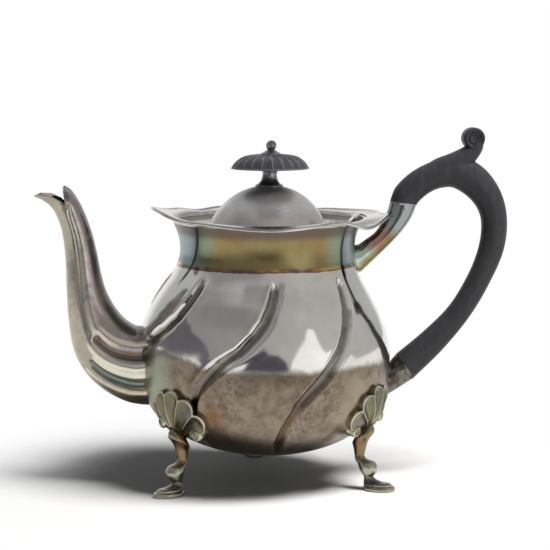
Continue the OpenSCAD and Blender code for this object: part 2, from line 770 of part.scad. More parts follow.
// Flat underneath, with a full round edge and a top that rises to the cap
module knob_disc() color("dimgray") place() rotate_extrude() polygon(concat(
  [[bore_r, stem_top], [disc_d / 2 - 4.6, stem_top]],
  bezier_points([
    [disc_d / 2 - 4.6, stem_top],
    [disc_d / 2 + 0.8, stem_top + 0.2],
    [disc_d / 2 + 2.2, stem_top + disc_t * 0.55],
    [disc_d / 2 - 4.4, stem_top + disc_t * 0.74]
  ], 10),
  bezier_points([
    [disc_d / 2 - 4.4, stem_top + disc_t * 0.74],
    [disc_d / 2 - 9, stem_top + disc_t * 0.92],
    [cap_d / 2 + 4, disc_top],
    [cap_d / 2, disc_top]
  ], 6),
  [[bore_r, disc_top]]
));

module knob_cap() color("gray") place() rotate_extrude() polygon([
  [bore_r, disc_top], [cap_d / 2, disc_top], [cap_d / 2, disc_top + 0.6],
  [ball_d / 2 - 0.6, cap_top], [bore_r, cap_top]
]);

nut_af = 5.5;
nut_h = 2.4;
washer_d = 9;
washer_t = 0.8;
washer_z = dome_z(washer_d / 2, dome_r - wall) - solder - washer_t;
nut_z = washer_z - nut_h;

// The ball's underside is cut flat where it bears on the cap
module knob_bolt() color("gray") place() {
  difference() {
    translate([0, 0, ball_z]) sphere(d = ball_d);
    translate([-ball_d, -ball_d, cap_top - ball_d]) cube([2 * ball_d, 2 * ball_d, ball_d]);
  }
  translate([0, 0, nut_z - 1]) cylinder(r = bolt_r, h = ball_z - nut_z + 1, $fn = 32);
}

module knob_washer() color("silver") place() translate([0, 0, washer_z]) difference() {
  cylinder(d = washer_d, h = washer_t);
  translate([0, 0, -1]) cylinder(r = bore_r, h = washer_t + 2, $fn = 32);
}

module knob_nut() color("silver") place() translate([0, 0, nut_z]) difference() {
  cylinder(d = nut_af / cos(30), h = nut_h, $fn = 6);
  translate([0, 0, -1]) cylinder(r = bolt_r, h = nut_h + 2, $fn = 32);
}

// ---- the nodes ----------------------------------------------------------

body();
rim_border();
lid_seat_ring();
spout();
upper_handle_socket();
lower_handle_socket();
handle();
upper_handle_pin();
lower_handle_pin();
front_left_foot();
front_right_foot();
back_foot();
pot_hinge_leaf();
hinge_pin();
lid();
lid_bezel();
lid_hinge_leaf();
knob_stem();
knob_disc();
knob_cap();
knob_bolt();
knob_washer();
knob_nut();
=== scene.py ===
# %% [markdown]
# # A silver teapot with a hinged lid
#
# This lesson dresses a teapot that already exists as plain solids. A melon-shaped body
# stands on three cast shell feet. A swan-neck spout faces -X, a black scroll handle
# faces +X, and a domed lid with a black knob swings on a hinge beside the handle.
# Most pieces are made here as smoother, more detailed meshes in the places of the
# plain ones. Then come the metals and the wood, and last the floor and the lights.

import json
import math

import bpy
import bmesh
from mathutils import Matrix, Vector

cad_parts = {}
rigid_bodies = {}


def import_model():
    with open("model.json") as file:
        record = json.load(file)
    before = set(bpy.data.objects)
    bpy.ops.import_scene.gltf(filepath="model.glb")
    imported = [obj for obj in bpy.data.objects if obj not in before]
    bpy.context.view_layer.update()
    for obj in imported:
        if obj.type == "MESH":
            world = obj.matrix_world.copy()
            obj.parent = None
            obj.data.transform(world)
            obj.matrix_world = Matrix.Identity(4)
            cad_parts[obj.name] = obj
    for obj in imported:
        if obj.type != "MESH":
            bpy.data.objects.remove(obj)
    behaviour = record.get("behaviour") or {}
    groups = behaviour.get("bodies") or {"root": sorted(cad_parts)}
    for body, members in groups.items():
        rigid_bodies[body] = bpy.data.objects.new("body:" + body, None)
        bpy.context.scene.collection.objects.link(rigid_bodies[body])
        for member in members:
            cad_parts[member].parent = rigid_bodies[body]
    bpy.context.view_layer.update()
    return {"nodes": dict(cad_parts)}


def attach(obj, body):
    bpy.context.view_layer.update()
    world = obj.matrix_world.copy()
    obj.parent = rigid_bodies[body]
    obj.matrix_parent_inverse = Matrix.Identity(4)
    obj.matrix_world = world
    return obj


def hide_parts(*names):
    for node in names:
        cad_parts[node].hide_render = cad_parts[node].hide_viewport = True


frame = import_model()

# %% [markdown]
# ## The camera
#
# A long lens from about a metre away looks slightly down on the pot, which keeps its
# shape true. The camera comes first, so that every piece can be judged from where it is
# seen. It stands a little to the left of straight ahead.

# %% Camera
MM = 0.001
# The point on the pot's own axis at its underside, in millimetres from the frame's origin
AXIS = Vector((-3.55, -3.95, 16.0))

camera_distance = 1030
camera_height = 236
camera_side = math.radians(6.72)
camera_turn = math.radians(6.955)
camera_dip = math.radians(6.68)

camera = bpy.data.objects.new("camera", bpy.data.cameras.new("camera"))
camera.data.lens = 122.7
camera.data.sensor_width = 36
camera.location = (
    (AXIS.x - math.sin(camera_side) * camera_distance) * MM,
    (AXIS.y - math.cos(camera_side) * camera_distance) * MM,
    camera_height * MM,
)
camera.rotation_euler = (math.radians(90) - camera_dip, 0, -camera_turn)
bpy.context.scene.collection.objects.link(camera)
bpy.context.scene.camera = camera
print("camera at", [round(c, 3) for c in camera.location])

# %% [markdown]
# ## Tools for the shapes
#
# All sizes are in millimetres from the pot's own axis and underside, as a maker would
# measure them. Three ways of making a surface are enough. A lathe turns an outline
# round an axis, a loft joins rings of points, and a smooth row of numbers carries a
# section along a curve. Each returns points and faces, and one function turns any
# number of them into a piece with its faces outwards.

# %% Tools
# Points nearer than this are one point, in metres
SAME_POINT = 0.000002


def close_seams(mesh):
    """Merges the points of seams and poles, and turns the faces outwards."""
    shell = bmesh.new()
    shell.from_mesh(mesh)
    bmesh.ops.remove_doubles(shell, verts=shell.verts, dist=SAME_POINT)
    bmesh.ops.recalc_face_normals(shell, faces=shell.faces)
    shell.to_mesh(mesh)
    shell.free()


def soften(mesh, sharp):
    """Shades the mesh smooth, except where an edge is sharper than `sharp` degrees."""
    mesh.shade_smooth()
    mesh.set_sharp_from_angle(angle=math.radians(sharp))


def add_object(name, data):
    thing = bpy.data.objects.new(name, data)
    bpy.context.scene.collection.objects.link(thing)
    return thing


def make_piece(name, *shapes, sharp=50):
    """One object from shapes of points in millimetres and their faces."""
    points, faces = [], []
    for shape_points, shape_faces in shapes:
        start = len(points)
        points += [(Vector(p) + AXIS) * MM for p in shape_points]
        faces += [[start + i for i in face] for face in shape_faces]
    mesh = bpy.data.meshes.new(name)
    mesh.from_pydata(points, [], faces)
    close_seams(mesh)
    soften(mesh, sharp)
    return add_object(name, mesh)


def add_attributes(mesh, **columns):
    """Notes a number or a vector at each point, for a tree or a finish to read."""
    for name, values in columns.items():
        vector = len(values) > len(mesh.vertices)
        attribute = mesh.attributes.new(name, "FLOAT_VECTOR" if vector else "FLOAT", "POINT")
        attribute.data.foreach_set("vector" if vector else "value", values)


def loft(rings, ends="cap"):
    """Joins rings of equal length. The ends are capped, left open, or joined into a loop."""
    count = len(rings[0])
    points = [tuple(p) for ring in rings for p in ring]
    faces = []
    for i in range(len(rings) if ends == "loop" else len(rings) - 1):
        here, there = i * count, (i + 1) % len(rings) * count
        for k in range(count):
            after = (k + 1) % count
            faces.append([here + k, here + after, there + after, there + k])
    if ends == "cap":
        last = (len(rings) - 1) * count
        faces.append(list(range(count))[::-1])
        faces.append(list(range(last, last + count)))
    return points, faces


def lathe(outline, sides=96, centre=(0, 0, 0), axis="Z"):
    """Turns a closed outline of (radius, height) round an axis through a point."""
    rings = []
    for k in range(sides):
        turn = math.tau * k / sides
        ring = []
        for r, h in outline:
            a, b = r * math.cos(turn), r * math.sin(turn)
            local = Vector((a, b, h)) if axis == "Z" else Vector((a, h, b))
            ring.append(local + Vector(centre))
        rings.append(ring)
    return loft(rings, "loop")


def bezier(p, t):
    """A point on the curve with four control points, at a share t of the way."""
    u = 1 - t
    share = (u ** 3, 3 * u * u * t, 3 * u * t * t, t ** 3)
    return tuple(sum(s * q[i] for s, q in zip(share, p)) for i in range(len(p[0])))


def bezier_points(p, count):
    return [bezier(p, i / count) for i in range(count + 1)]


def smooth_rows(rows, steps):
    """Rows of numbers with `steps` steps from row to row, on a smooth curve."""
    result = []
    for i in range(len(rows) - 1):
        a, b = rows[max(i - 1, 0)], rows[i]
        c, d = rows[i + 1], rows[min(i + 2, len(rows) - 1)]
        for k in range(steps):
            t = k / steps
            result.append([
                0.5 * (2 * q + (r - p) * t + (2 * p - 5 * q + 4 * r - s) * t * t
                       + (3 * q - p - 3 * r + s) * t ** 3)
                for p, q, r, s in zip(a, b, c, d)
            ])
    return result + [list(rows[-1])]


def ramp(t):
    """0 below 0, 1 above 1 and a soft step between."""
    t = min(max(t, 0), 1)
    return t * t * (3 - 2 * t)


def table_value(table, x):
    """Reads a table of (x, value) rows, straight from row to row."""
    rows = sorted(table)
    if x <= rows[0][0]:
        return rows[0][1]
    for (x0, v0), (x1, v1) in zip(rows, rows[1:]):
        if x <= x1:
            return v0 + (v1 - v0) * (x - x0) / (x1 - x0)
    return rows[-1][1]


def round_point(r, degrees, z):
    """A point at a radius and a height, turned from the front (-Y) towards the handle (+X)."""
    a = math.radians(degrees)
    return Vector((r * math.sin(a), -r * math.cos(a), z))


def oval_ring(row, sides, inset=0):
    """A ring between two rails in the plane of the handle: x, z, x, z and half width."""
    centre = Vector(((row[0] + row[2]) / 2, 0, (row[1] + row[3]) / 2))
    half = Vector((row[0], 0, row[1])) - centre
    half *= (half.length - inset) / half.length
    ring = []
    for k in range(sides):
        a = math.tau * k / sides
        ring.append(centre + half * math.cos(a) + Vector((0, (row[4] - inset) * math.sin(a), 0)))
    return ring


print("tools ready")

# %% [markdown]
# ## The body
#
# The body of such a pot is raised from sheet, and its melon lobes are parted by eight
# narrow flutes that start upright at the shoulder and swing round under the belly. A
# flute could be a dent in a fine round mesh, but a slanting dent across a straight grid
# has ragged edges. So the columns of this grid follow the flutes, close together where a
# flute is and wider between. Each point remembers how far across a flute it lies, how
# deep the flute is there, and which way is out of the wall.

# %% Outline of the body
wall = 0.9
belly_r = 67.6
belly_z = 51
neck_r = 48.1
neck_z = 114
mouth_r = 51.9
mouth_h = 129.2
body_floor = 2.3
belly_curve = [(22, body_floor), (48, 7.5), (belly_r, 20.5), (belly_r, belly_z)]
shoulder_curve = [(belly_r, belly_z), (belly_r, 89.5), (neck_r, 95), (neck_r, neck_z)]
neck_curve = [(neck_r, neck_z), (neck_r, 120), (49.7, 124.7), (mouth_r, mouth_h)]


def body_outline(belly_steps, shoulder_steps, neck_steps):
    return (
        bezier_points(belly_curve, belly_steps)
        + bezier_points(shoulder_curve, shoulder_steps)[1:]
        + bezier_points(neck_curve, neck_steps)[1:]
    )


outline = body_outline(40, 56, 16)
outline_table = [(z, r) for r, z in outline]


def outside_r(z):
    return table_value(outline_table, z)


def outline_normal(z):
    """The way out of the wall at a height, as (outwards, upwards)."""
    step = 0.4
    return Vector((2 * step, outside_r(z - step) - outside_r(z + step))).normalized()


print("body outline:", len(outline), "points")

# %% Where the flutes run
FLUTES = 8
# Degrees from flute to flute, and how far the close columns go to each side of one
lobe = 45
close_by = 6
# Height above the underside and how far a flute has turned from its start, in degrees
quick_turn = [
    (14, -49), (22, -47.5), (30, -45.5), (39.3, -42.6), (46.2, -39.2), (53.7, -33.2), (60.2, -26.3),
    (67.3, -17.2), (75.4, -9.5), (81.9, -4.8), (88.9, -1.7), (94.5, -0.1), (101.5, 0.7),
]
even_turn = [
    (14, -45.4), (22.3, -43.3), (29.8, -40.4), (38.4, -36.2), (45, -31), (51.4, -25.5), (58.5, -20.2),
    (65.4, -15), (72.4, -10.4), (79.3, -6.5), (86.3, -3.1), (93.5, -1.2), (99, -0.4),
]
# Half the width of a flute across its run, and how deep it is as a share of the whole
flute_half_width = [
    (4, 1.3), (8, 2.0), (14, 2.6), (22, 2.8), (37, 2.9), (47, 3.4), (61, 3.6), (74, 3.7),
    (85, 3.7), (96, 3.3), (103, 2.9),
]
flute_top = 102.5
flute_foot = 5.0
# The flutes are listed one by one: where each starts, and how much of the turn it makes
flute_start = [0, 45, 90, 135, 180, 225, 270, 313]
turn_share = [1.0, 1.0, 0.3, 1.0, 1.0, 1.0, 1.0, 1.4]


def flute_angle(k, z):
    k = k % FLUTES
    turn = quick_turn if k in (0, 7) else even_turn
    return flute_start[k] + turn_share[k] * table_value(turn, z)


def column_angles(z):
    """For each column: its angle, its share of the lobe, and degrees from the nearest flute."""
    result = []
    fine = [0.5 * i for i in range(12)]
    wide = [close_by + 1.375 * i for i in range(24)]
    offsets = fine + wide + [lobe - close_by + d for d in fine]
    for k in range(FLUTES):
        start, end = flute_angle(k, z), flute_angle(k + 1, z)
        if k + 1 == FLUTES:
            end += 360
        for offset in offsets:
            angle = start + (end - start) * offset / lobe
            near = start if offset < lobe / 2 else end
            result.append((angle, offset / lobe, angle - near))
    return result


print("columns:", len(column_angles(50)))

# %% The body's grid
# Between the flutes the shoulder swells a little, and the body leans towards the spout,
# whose side is also the fuller one: height, then millimetres
lobe_swell = [(54, 0), (66, 0.35), (78, 0.8), (88, 0.9), (97, 0.6), (108, 0)]
body_lean = [
    (56, 0), (62, 0.2), (68, 0.7), (74, 1.6), (79, 2.1), (84, 2.6), (90, 2.6), (96, 2.2),
    (104, 0.9), (112, 0),
]
spout_side = [
    (8, 0), (18, 1.2), (26, 2.4), (35, 3.4), (44, 3.9), (60, 4.0), (68, 3.0), (74, 1.6),
    (80, 0.5), (86, 0),
]


def wall_bulge(degrees, z):
    """How far the wall stands out of the plain outline of the body on the spout's side."""
    towards = max(0, -math.sin(math.radians(degrees)))
    return table_value(spout_side, z) * towards ** 5


def body_ring(r, z, inside):
    """One ring of the grid, with the facts that the flutes need."""
    ring, facts = [], []
    normal = outline_normal(min(max(z, 1), mouth_h - 1))
    step = 0.5
    angles_up = [column[0] for column in column_angles(z + step)]
    for (angle, share, off), angle_up in zip(column_angles(z), angles_up):
        # The perpendicular distance from the flute's middle line, in half widths
        run = math.radians(angle_up - angle) * r
        rise = step / max(normal.x, 0.25)
        slant = rise / math.hypot(run, rise)
        across = math.radians(off) * r * slant / table_value(flute_half_width, z)
        depth = ramp((flute_top - z) / 6) * ramp((z - flute_foot) / 6)
        swell = table_value(lobe_swell, z) * math.sin(math.pi * share) ** 0.8
        swell += wall_bulge(angle, z)
        base = round_point(r, angle, z) - Vector((table_value(body_lean, z), 0, 0))
        outward = round_point(normal.x, angle, normal.y)
        ring.append(base + outward * (swell - (wall if inside else 0)))
        facts.append((across, depth, outward, 1.0 if inside else 0.0))
    return ring, facts


# From the middle of the bottom up the outside, down the inside and back to the middle
middle = (0, body_floor)
stations = [(r, z, False) for r, z in [middle, (12, body_floor)] + outline]
stations += [(r, z, True) for r, z in body_outline(14, 20, 6)[::-1]]
stations.append((*middle, False))
rings, facts = [], []
for r, z, inside in stations:
    ring, ring_facts = body_ring(r, z, inside)
    if inside:
        ring = [Vector((p.x, p.y, min(max(p.z, body_floor + wall), mouth_h))) for p in ring]
    rings.append(ring)
    facts += ring_facts
rings[-1] = [p + Vector((0, 0, wall)) for p in rings[-1]]

points, faces = loft(rings, "open")
mesh = bpy.data.meshes.new("body_shell")
mesh.from_pydata([(Vector(p) + AXIS) * MM for p in points], [], faces)
add_attributes(
    mesh,
    across=[f[0] for f in facts],
    flute_depth=[f[1] for f in facts],
    inside=[f[3] for f in facts],
    outward=[c for f in facts for c in f[2]],
)
close_seams(mesh)
body_shell = add_object("body_shell", mesh)
print("body grid:", len(mesh.vertices), "points")

# %% [markdown]
# ## Pressing the flutes
#
# A chaser sinks a flute with punches, steep on the side that was struck and soft on the
# other, and the metal rises in a low lip beside it. Geometry Nodes do the same: the
# flute's section is drawn once as a curve, read at each point's place across the flute,
# and the point is moved along the wall's own direction. The wall's inside moves too, as
# sheet does.

# %% A node helper, and the tree that presses the flutes
MATH = "ShaderNodeMath"


def set_inputs(tree, node, inputs):
    """Sets each input to a value, or links it to an output or a node's first one in use."""
    for key, value in inputs.items():
        if isinstance(value, bpy.types.Node):
            value = next(output for output in value.outputs if output.enabled)
        if isinstance(value, bpy.types.NodeSocket):
            tree.links.new(value, node.inputs[key])
        else:
            node.inputs[key].default_value = value


def add_node(tree, kind, inputs=None, **settings):
    """A node with its settings and its inputs."""
    node = tree.nodes.new(kind)
    for key, value in settings.items():
        setattr(node, key, value)
    set_inputs(tree, node, inputs or {})
    return node


def new_tree(name, **sizes):
    """A Geometry Nodes tree with a geometry, a material and the named sizes as its inputs."""
    tree = bpy.data.node_groups.new(name, "GeometryNodeTree")
    tree.interface.new_socket("Geometry", in_out="INPUT", socket_type="NodeSocketGeometry")
    tree.interface.new_socket("Material", in_out="INPUT", socket_type="NodeSocketMaterial")
    for size, value in sizes.items():
        kind = "NodeSocketInt" if isinstance(value, int) else "NodeSocketFloat"
        socket = tree.interface.new_socket(size, in_out="INPUT", socket_type=kind)
        socket.default_value = value
    tree.interface.new_socket("Geometry", in_out="OUTPUT", socket_type="NodeSocketGeometry")
    return tree, add_node(tree, "NodeGroupInput").outputs


def end_tree(tree, geometry, material):
    """Every tree ends in real geometry with its material set."""
    realized = add_node(tree, "GeometryNodeRealizeInstances", {"Geometry": geometry})
    dressed = add_node(tree, "GeometryNodeSetMaterial", {"Geometry": realized, "Material": material})
    add_node(tree, "NodeGroupOutput", {"Geometry": dressed})


def run_tree(piece, tree, material):
    """Puts the tree on the piece, with the material set by its input's identifier."""
    modifier = piece.modifiers.new(tree.name, "NODES")
    modifier.node_group = tree
    for item in tree.interface.items_tree:
        if item.in_out == "INPUT" and item.name == "Material":
            modifier[item.identifier] = material


def clear_slivers(mesh):
    """Splits the many-sided faces of a cut, and deletes those triangles that lie back to back."""
    work = bmesh.new()
    work.from_mesh(mesh)
    bmesh.ops.triangulate(work, faces=[face for face in work.faces if len(face.verts) > 4])
    on_corners = {}
    for face in work.faces:
        corners = frozenset(tuple(round(c, 7) for c in vertex.co) for vertex in face.verts)
        on_corners.setdefault(corners, []).append(face)
    slivers = [face for faces in on_corners.values() if len(faces) > 1 for face in faces]
    if slivers:
        bmesh.ops.delete(work, geom=slivers, context="FACES")
        work.to_mesh(mesh)
    work.free()
    return len(slivers)


def freeze(piece, sharp=50):
    """Turns the piece's evaluated result into its plain mesh and removes its modifiers."""
    scene = bpy.context.evaluated_depsgraph_get()
    mesh = bpy.data.meshes.new_from_object(piece.evaluated_get(scene))
    piece.modifiers.clear()
    old = piece.data
    piece.data = mesh
    mesh.name = piece.name
    bpy.data.meshes.remove(old)
    print(piece.name, "slivers deleted:", clear_slivers(mesh))
    soften(mesh, sharp)


flute_tree, sizes = new_tree("press_flutes", Depth=0.0022)
across, depth, outward = [
    add_node(flute_tree, "GeometryNodeInputNamedAttribute", {"Name": name}, data_type=kind)
    for name, kind in (("across", "FLOAT"), ("flute_depth", "FLOAT"), ("outward", "FLOAT_VECTOR"))
]
# This many half widths to each side are drawn on a curve from 0 to 1
reach = 2.5
place_across = add_node(flute_tree, "ShaderNodeMapRange", {
    "Value": across, "From Min": -reach, "From Max": reach,
})
section = add_node(flute_tree, "ShaderNodeFloatCurve", {"Value": place_across})
# Half widths across the flute, and how far the wall is pressed in there
flute_section = [
    (-2.5, 0.0), (-1.7, -0.05), (-1.3, -0.13), (-1.02, 0.0), (-0.82, 0.5), (-0.55, 0.92),
    (-0.15, 1.0), (0.3, 0.84), (0.7, 0.42), (1.0, 0.06), (1.3, -0.13), (1.8, -0.08), (2.5, 0.0),
]
curve = section.mapping.curves[0]
while len(curve.points) < len(flute_section):
    curve.points.new(0.5, 0.5)
for point, (x, press) in zip(curve.points, sorted(flute_section)):
    point.location = ((x + reach) / (2 * reach), press * 0.5 + 0.25)
section.mapping.update()
press = add_node(flute_tree, "ShaderNodeMapRange", {
    "Value": section, "From Min": 0.25, "From Max": 0.75, "To Min": 0.0, "To Max": -1.0,
}, clamp=False)
deep = add_node(flute_tree, MATH, {0: press, 1: depth}, operation="MULTIPLY")
sized = add_node(flute_tree, MATH, {0: deep, 1: sizes["Depth"]}, operation="MULTIPLY")
move = add_node(flute_tree, "ShaderNodeVectorMath", {0: outward, "Scale": sized}, operation="SCALE")
pressed = add_node(flute_tree, "GeometryNodeSetPosition", {
    "Geometry": sizes["Geometry"], "Offset": move,
})
noted = add_node(flute_tree, "GeometryNodeStoreNamedAttribute", {
    "Geometry": pressed, "Name": "pressed_in", "Value": deep,
}, data_type="FLOAT", domain="POINT")
end_tree(flute_tree, noted, sizes["Material"])
print("flute section:", len(curve.points), "points")

# %% [markdown]
# ## Openings in the body
#
# Nineteen holes behind the spout hold back the tea leaves, and a notch in the mouth
# makes room for the hinge. Holes in a pattern suit Geometry Nodes: one drill is placed
# on every point of a lattice. The drills and the notch are then cut from the body with
# Boolean modifiers, because a hole is easier to cut than to build.

# %% Drills for the strainer and a block for the hinge
hinge_x = 50.0
hinge_z = 130.5
hinge_half = 10.25

drill_tree, sizes = new_tree("strainer_drills", Pitch=0.0044, Diameter=0.0024, Length=0.03, Reach=2)
row_count = 5
# Rows and columns count from the middle one, so the middle hole is on the spout's axis
middle_row = 2
# In a close-packed pattern the rows are this share of the pitch apart
row_share = 0.866
strainer_z = 53
lattice = add_node(drill_tree, "GeometryNodeMeshLine", {"Count": row_count ** 2}, mode="OFFSET")
index = add_node(drill_tree, "GeometryNodeInputIndex")
row = add_node(drill_tree, MATH, {0: index, 1: row_count}, operation="DIVIDE")
row = add_node(drill_tree, MATH, {0: row}, operation="FLOOR")
column = add_node(drill_tree, MATH, {0: index, 1: row_count}, operation="MODULO")
up, along = [
    add_node(drill_tree, MATH, {0: count, 1: middle_row}, operation="SUBTRACT")
    for count in (row, column)
]
both = add_node(drill_tree, MATH, {0: up, 1: along}, operation="ADD")
far = add_node(drill_tree, MATH, {0: both}, operation="ABSOLUTE")
outside = add_node(drill_tree, "FunctionNodeCompare", {
    0: far, 1: sizes["Reach"],
}, operation="GREATER_THAN")
side = add_node(drill_tree, MATH, {0: up, 1: 0.5, 2: along}, operation="MULTIPLY_ADD")
rise = add_node(drill_tree, MATH, {0: up, 1: row_share}, operation="MULTIPLY")
step_y, step_z = [
    add_node(drill_tree, MATH, {0: step, 1: sizes["Pitch"]}, operation="MULTIPLY")
    for step in (side, rise)
]
middle = (Vector((-belly_r, 0, strainer_z)) + AXIS) * MM
spot = add_node(drill_tree, "ShaderNodeCombineXYZ", {"Y": step_y, "Z": step_z})
spot = add_node(drill_tree, "ShaderNodeVectorMath", {0: spot, 1: middle}, operation="ADD")
placed = add_node(drill_tree, "GeometryNodeSetPosition", {"Geometry": lattice, "Position": spot})
kept = add_node(drill_tree, "GeometryNodeDeleteGeometry", {
    "Geometry": placed, "Selection": outside,
}, domain="POINT")
radius = add_node(drill_tree, MATH, {0: sizes["Diameter"], 1: 0.5}, operation="MULTIPLY")
drill = add_node(drill_tree, "GeometryNodeMeshCylinder", {
    "Vertices": 16, "Radius": radius, "Depth": sizes["Length"],
})
drills = add_node(drill_tree, "GeometryNodeInstanceOnPoints", {
    "Points": kept, "Instance": drill, "Rotation": (0, math.radians(90), 0),
})
end_tree(drill_tree, drills, sizes["Material"])


def box_shape(low, high):
    (x0, y0, z0), (x1, y1, z1) = low, high
    return loft([[(x0, y0, z), (x1, y0, z), (x1, y1, z), (x0, y1, z)] for z in (z0, z1)])


# The tree replaces this little box by the drills
strainer_drills = make_piece("strainer_drills", box_shape((0, 0, 0), (1, 1, 1)))
notch_half = hinge_half + 0.1
hinge_block = make_piece("hinge_block", box_shape(
    (hinge_x - 1.2, -notch_half, 128.0), (54.3, notch_half, 136),
))
print("openings: strainer and hinge notch")

# %% [markdown]
# ## Placeholder metal, then the real ones
#
# The finishes are made further on. The trees need a material to set, so each finish is
# created empty here under the name of the metal it will be.

# %% Names of the finishes
(
    body_silver, rim_silver, spout_silver, socket_silver, foot_silver,
    dark_silver, inner_silver, lid_silver, chased_silver, black_wood,
) = [bpy.data.materials.new(name) for name in (
    "planished silver with a warm tarnish", "burnished silver",
    "spout silver with straw and violet tarnish", "socket silver with rainbow tarnish",
    "cast silver with gold and copper tarnish", "turned silver, darkly tarnished",
    "brushed silver inside the pot", "burnished silver with an even grey film",
    "chased silver, dark in its hollows", "ebonised wood with worn edges",
)]


def finish(piece, material, body, slot, *nodes):
    """Gives a piece its material, the body it moves with and the nodes it stands for; the slot is not
    used.
    """
    piece.data.materials.clear()
    piece.data.materials.append(material)
    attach(piece, body)
    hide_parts(*nodes)


def cut(piece, cutter):
    modifier = piece.modifiers.new("cut " + cutter.name, "BOOLEAN")
    modifier.object = cutter
    modifier.operation = "DIFFERENCE"
    modifier.solver = "EXACT"


# %% Press, drill and cut the body
run_tree(strainer_drills, drill_tree, body_silver)
freeze(strainer_drills)
run_tree(body_shell, flute_tree, body_silver)
cut(body_shell, strainer_drills)
cut(body_shell, hinge_block)
freeze(body_shell, sharp=40)
finish(body_shell, body_silver, "pot", "polished_silver", "body")
print("body:", len(body_shell.data.polygons), "faces")

# %% [markdown]
# ## The wavy rim
#
# A cast border with a wire edge is soldered to the mouth. It leaves the neck along the
# neck's own curve, rolls over, and reaches out more in some places than in others. One
# closed section, with its underside, wire edge and top, is set at every degree or two
# and lofted into a ring. The hinge block then cuts its place.

# %% Rim
lip_reach = 15.7
rim_t = 1.1
bead_r = 0.95
# Angle from the front, share of the reach, height above the mouth
lip_wave = [
    (-85, 0.80, 7.5), (-48, 0.64, 2.4), (-5, 0.93, 0.1), (33, 0.68, 2.6), (50, 0.86, -1.2),
    (76, 1.00, 3.3), (90, 0.74, 3.0), (104, 0.95, 2.6), (135, 0.71, 2.0), (165, 0.90, 0.0),
    (200, 0.72, 2.6), (212, 0.80, 1.4), (231, 0.72, 3.4), (275, 0.80, 7.5),
]


def lip_at(angle):
    for (a, reach_a, up_a), (b, reach_b, up_b) in zip(lip_wave, lip_wave[1:]):
        if a <= angle <= b:
            t = ramp((angle - a) / (b - a))
            return reach_a + (reach_b - reach_a) * t, up_a + (up_b - up_a) * t


def rim_section(angle):
    """The closed section of the rim at an angle, as (radius, height) points."""
    share, up = lip_at(angle)
    tip = Vector((mouth_r + lip_reach * share - bead_r, mouth_h + up))
    start = Vector((mouth_r, mouth_h + 0.02))
    length = tip.x - start.x
    # It leaves along the neck's own curve and comes to the tip at a low slope, in radians
    neck_way, tip_slope = Vector((0.44, 0.9)), 0.17
    path = [
        start,
        start + neck_way * 3.2,
        tip - Vector((math.cos(tip_slope), math.sin(tip_slope))) * length * 0.5,
        tip,
    ]
    under, top = [], []
    steps = 18
    for i in range(steps + 1):
        t = i / steps
        here = Vector(bezier(path, t))
        after, before = bezier(path, min(t + 0.01, 1)), bezier(path, max(t - 0.01, 0))
        way = (Vector(after) - Vector(before)).normalized()
        side = Vector((-way.y, way.x))
        thick = wall + (rim_t - wall) * t
        under.append(here)
        top.append(here + side * thick)
    way_angle = math.atan2(way.y, way.x)
    centre = (under[-1] + top[-1]) / 2
    # How far round the wire edge goes, in radians
    wrap, wire_steps = 4.8, 12
    wire = []
    for i in range(1, wire_steps):
        a = way_angle - wrap / 2 + wrap * i / wire_steps
        wire.append(centre + bead_r * Vector((math.cos(a), math.sin(a))))
    return under[:-1] + wire + top[:-1][::-1]


rim_steps = 240
sections = []
for i in range(rim_steps):
    angle = lip_wave[0][0] + 360 * i / rim_steps
    sections.append([round_point(r, angle, z) for r, z in rim_section(angle)])
rim = make_piece("rim_border_cast", loft(sections, "loop"), sharp=60)
cut(rim, hinge_block)
freeze(rim, sharp=60)
finish(rim, rim_silver, "pot", "polished_silver", "rim_border")
bpy.data.objects.remove(strainer_drills)
bpy.data.objects.remove(hinge_block)
print("rim:", len(rim.data.polygons), "faces")

# %% [markdown]
# ## The seat, the lid and its inner collar
#
# These are turned on a lathe, as a spinner turns them on a chuck. The lid is a flange, a
# small round fillet and a dome, all of one thickness. The collar hangs below it and
# keeps it centred, and the seat is a flat ring soldered inside the neck.

# %% Turned pieces of the lid
# The dome was fitted by hand and leans a little towards the handle, and the knob with it
dome_lean = 0.052
lean_from = 129.5


def leaning(shape):
    """Shears a shape towards the handle, from the dome's foot upwards."""
    points, faces = shape
    return [(p[0] + dome_lean * max(p[2] - lean_from, 0), p[1], p[2]) for p in points], faces


seat_z = 126.7
flange_z = 126.8
flange_top = 127.9
flange_r = 48.9
dome_r = 34.6
dome_centre_z = 114.6
fillet = 2.5
dome_top = 149.2


def arc(centre, radius, start, end, steps):
    """Points on an arc in (radius, height), from one angle in degrees to another."""
    result = []
    for i in range(steps + 1):
        a = math.radians(start + (end - start) * i / steps)
        result.append((centre[0] + radius * math.cos(a), centre[1] + radius * math.sin(a)))
    return result


seat = [
    (49.3, seat_z), (46.4, seat_z), (46.2, seat_z - 0.2),
    (46.2, seat_z - 1.4), (46.4, seat_z - 1.6), (48.9, seat_z - 1.6),
]
seat_ring = make_piece("lid_seat_turned", lathe(seat, 128))
finish(seat_ring, inner_silver, "pot", "polished_silver", "lid_seat_ring")

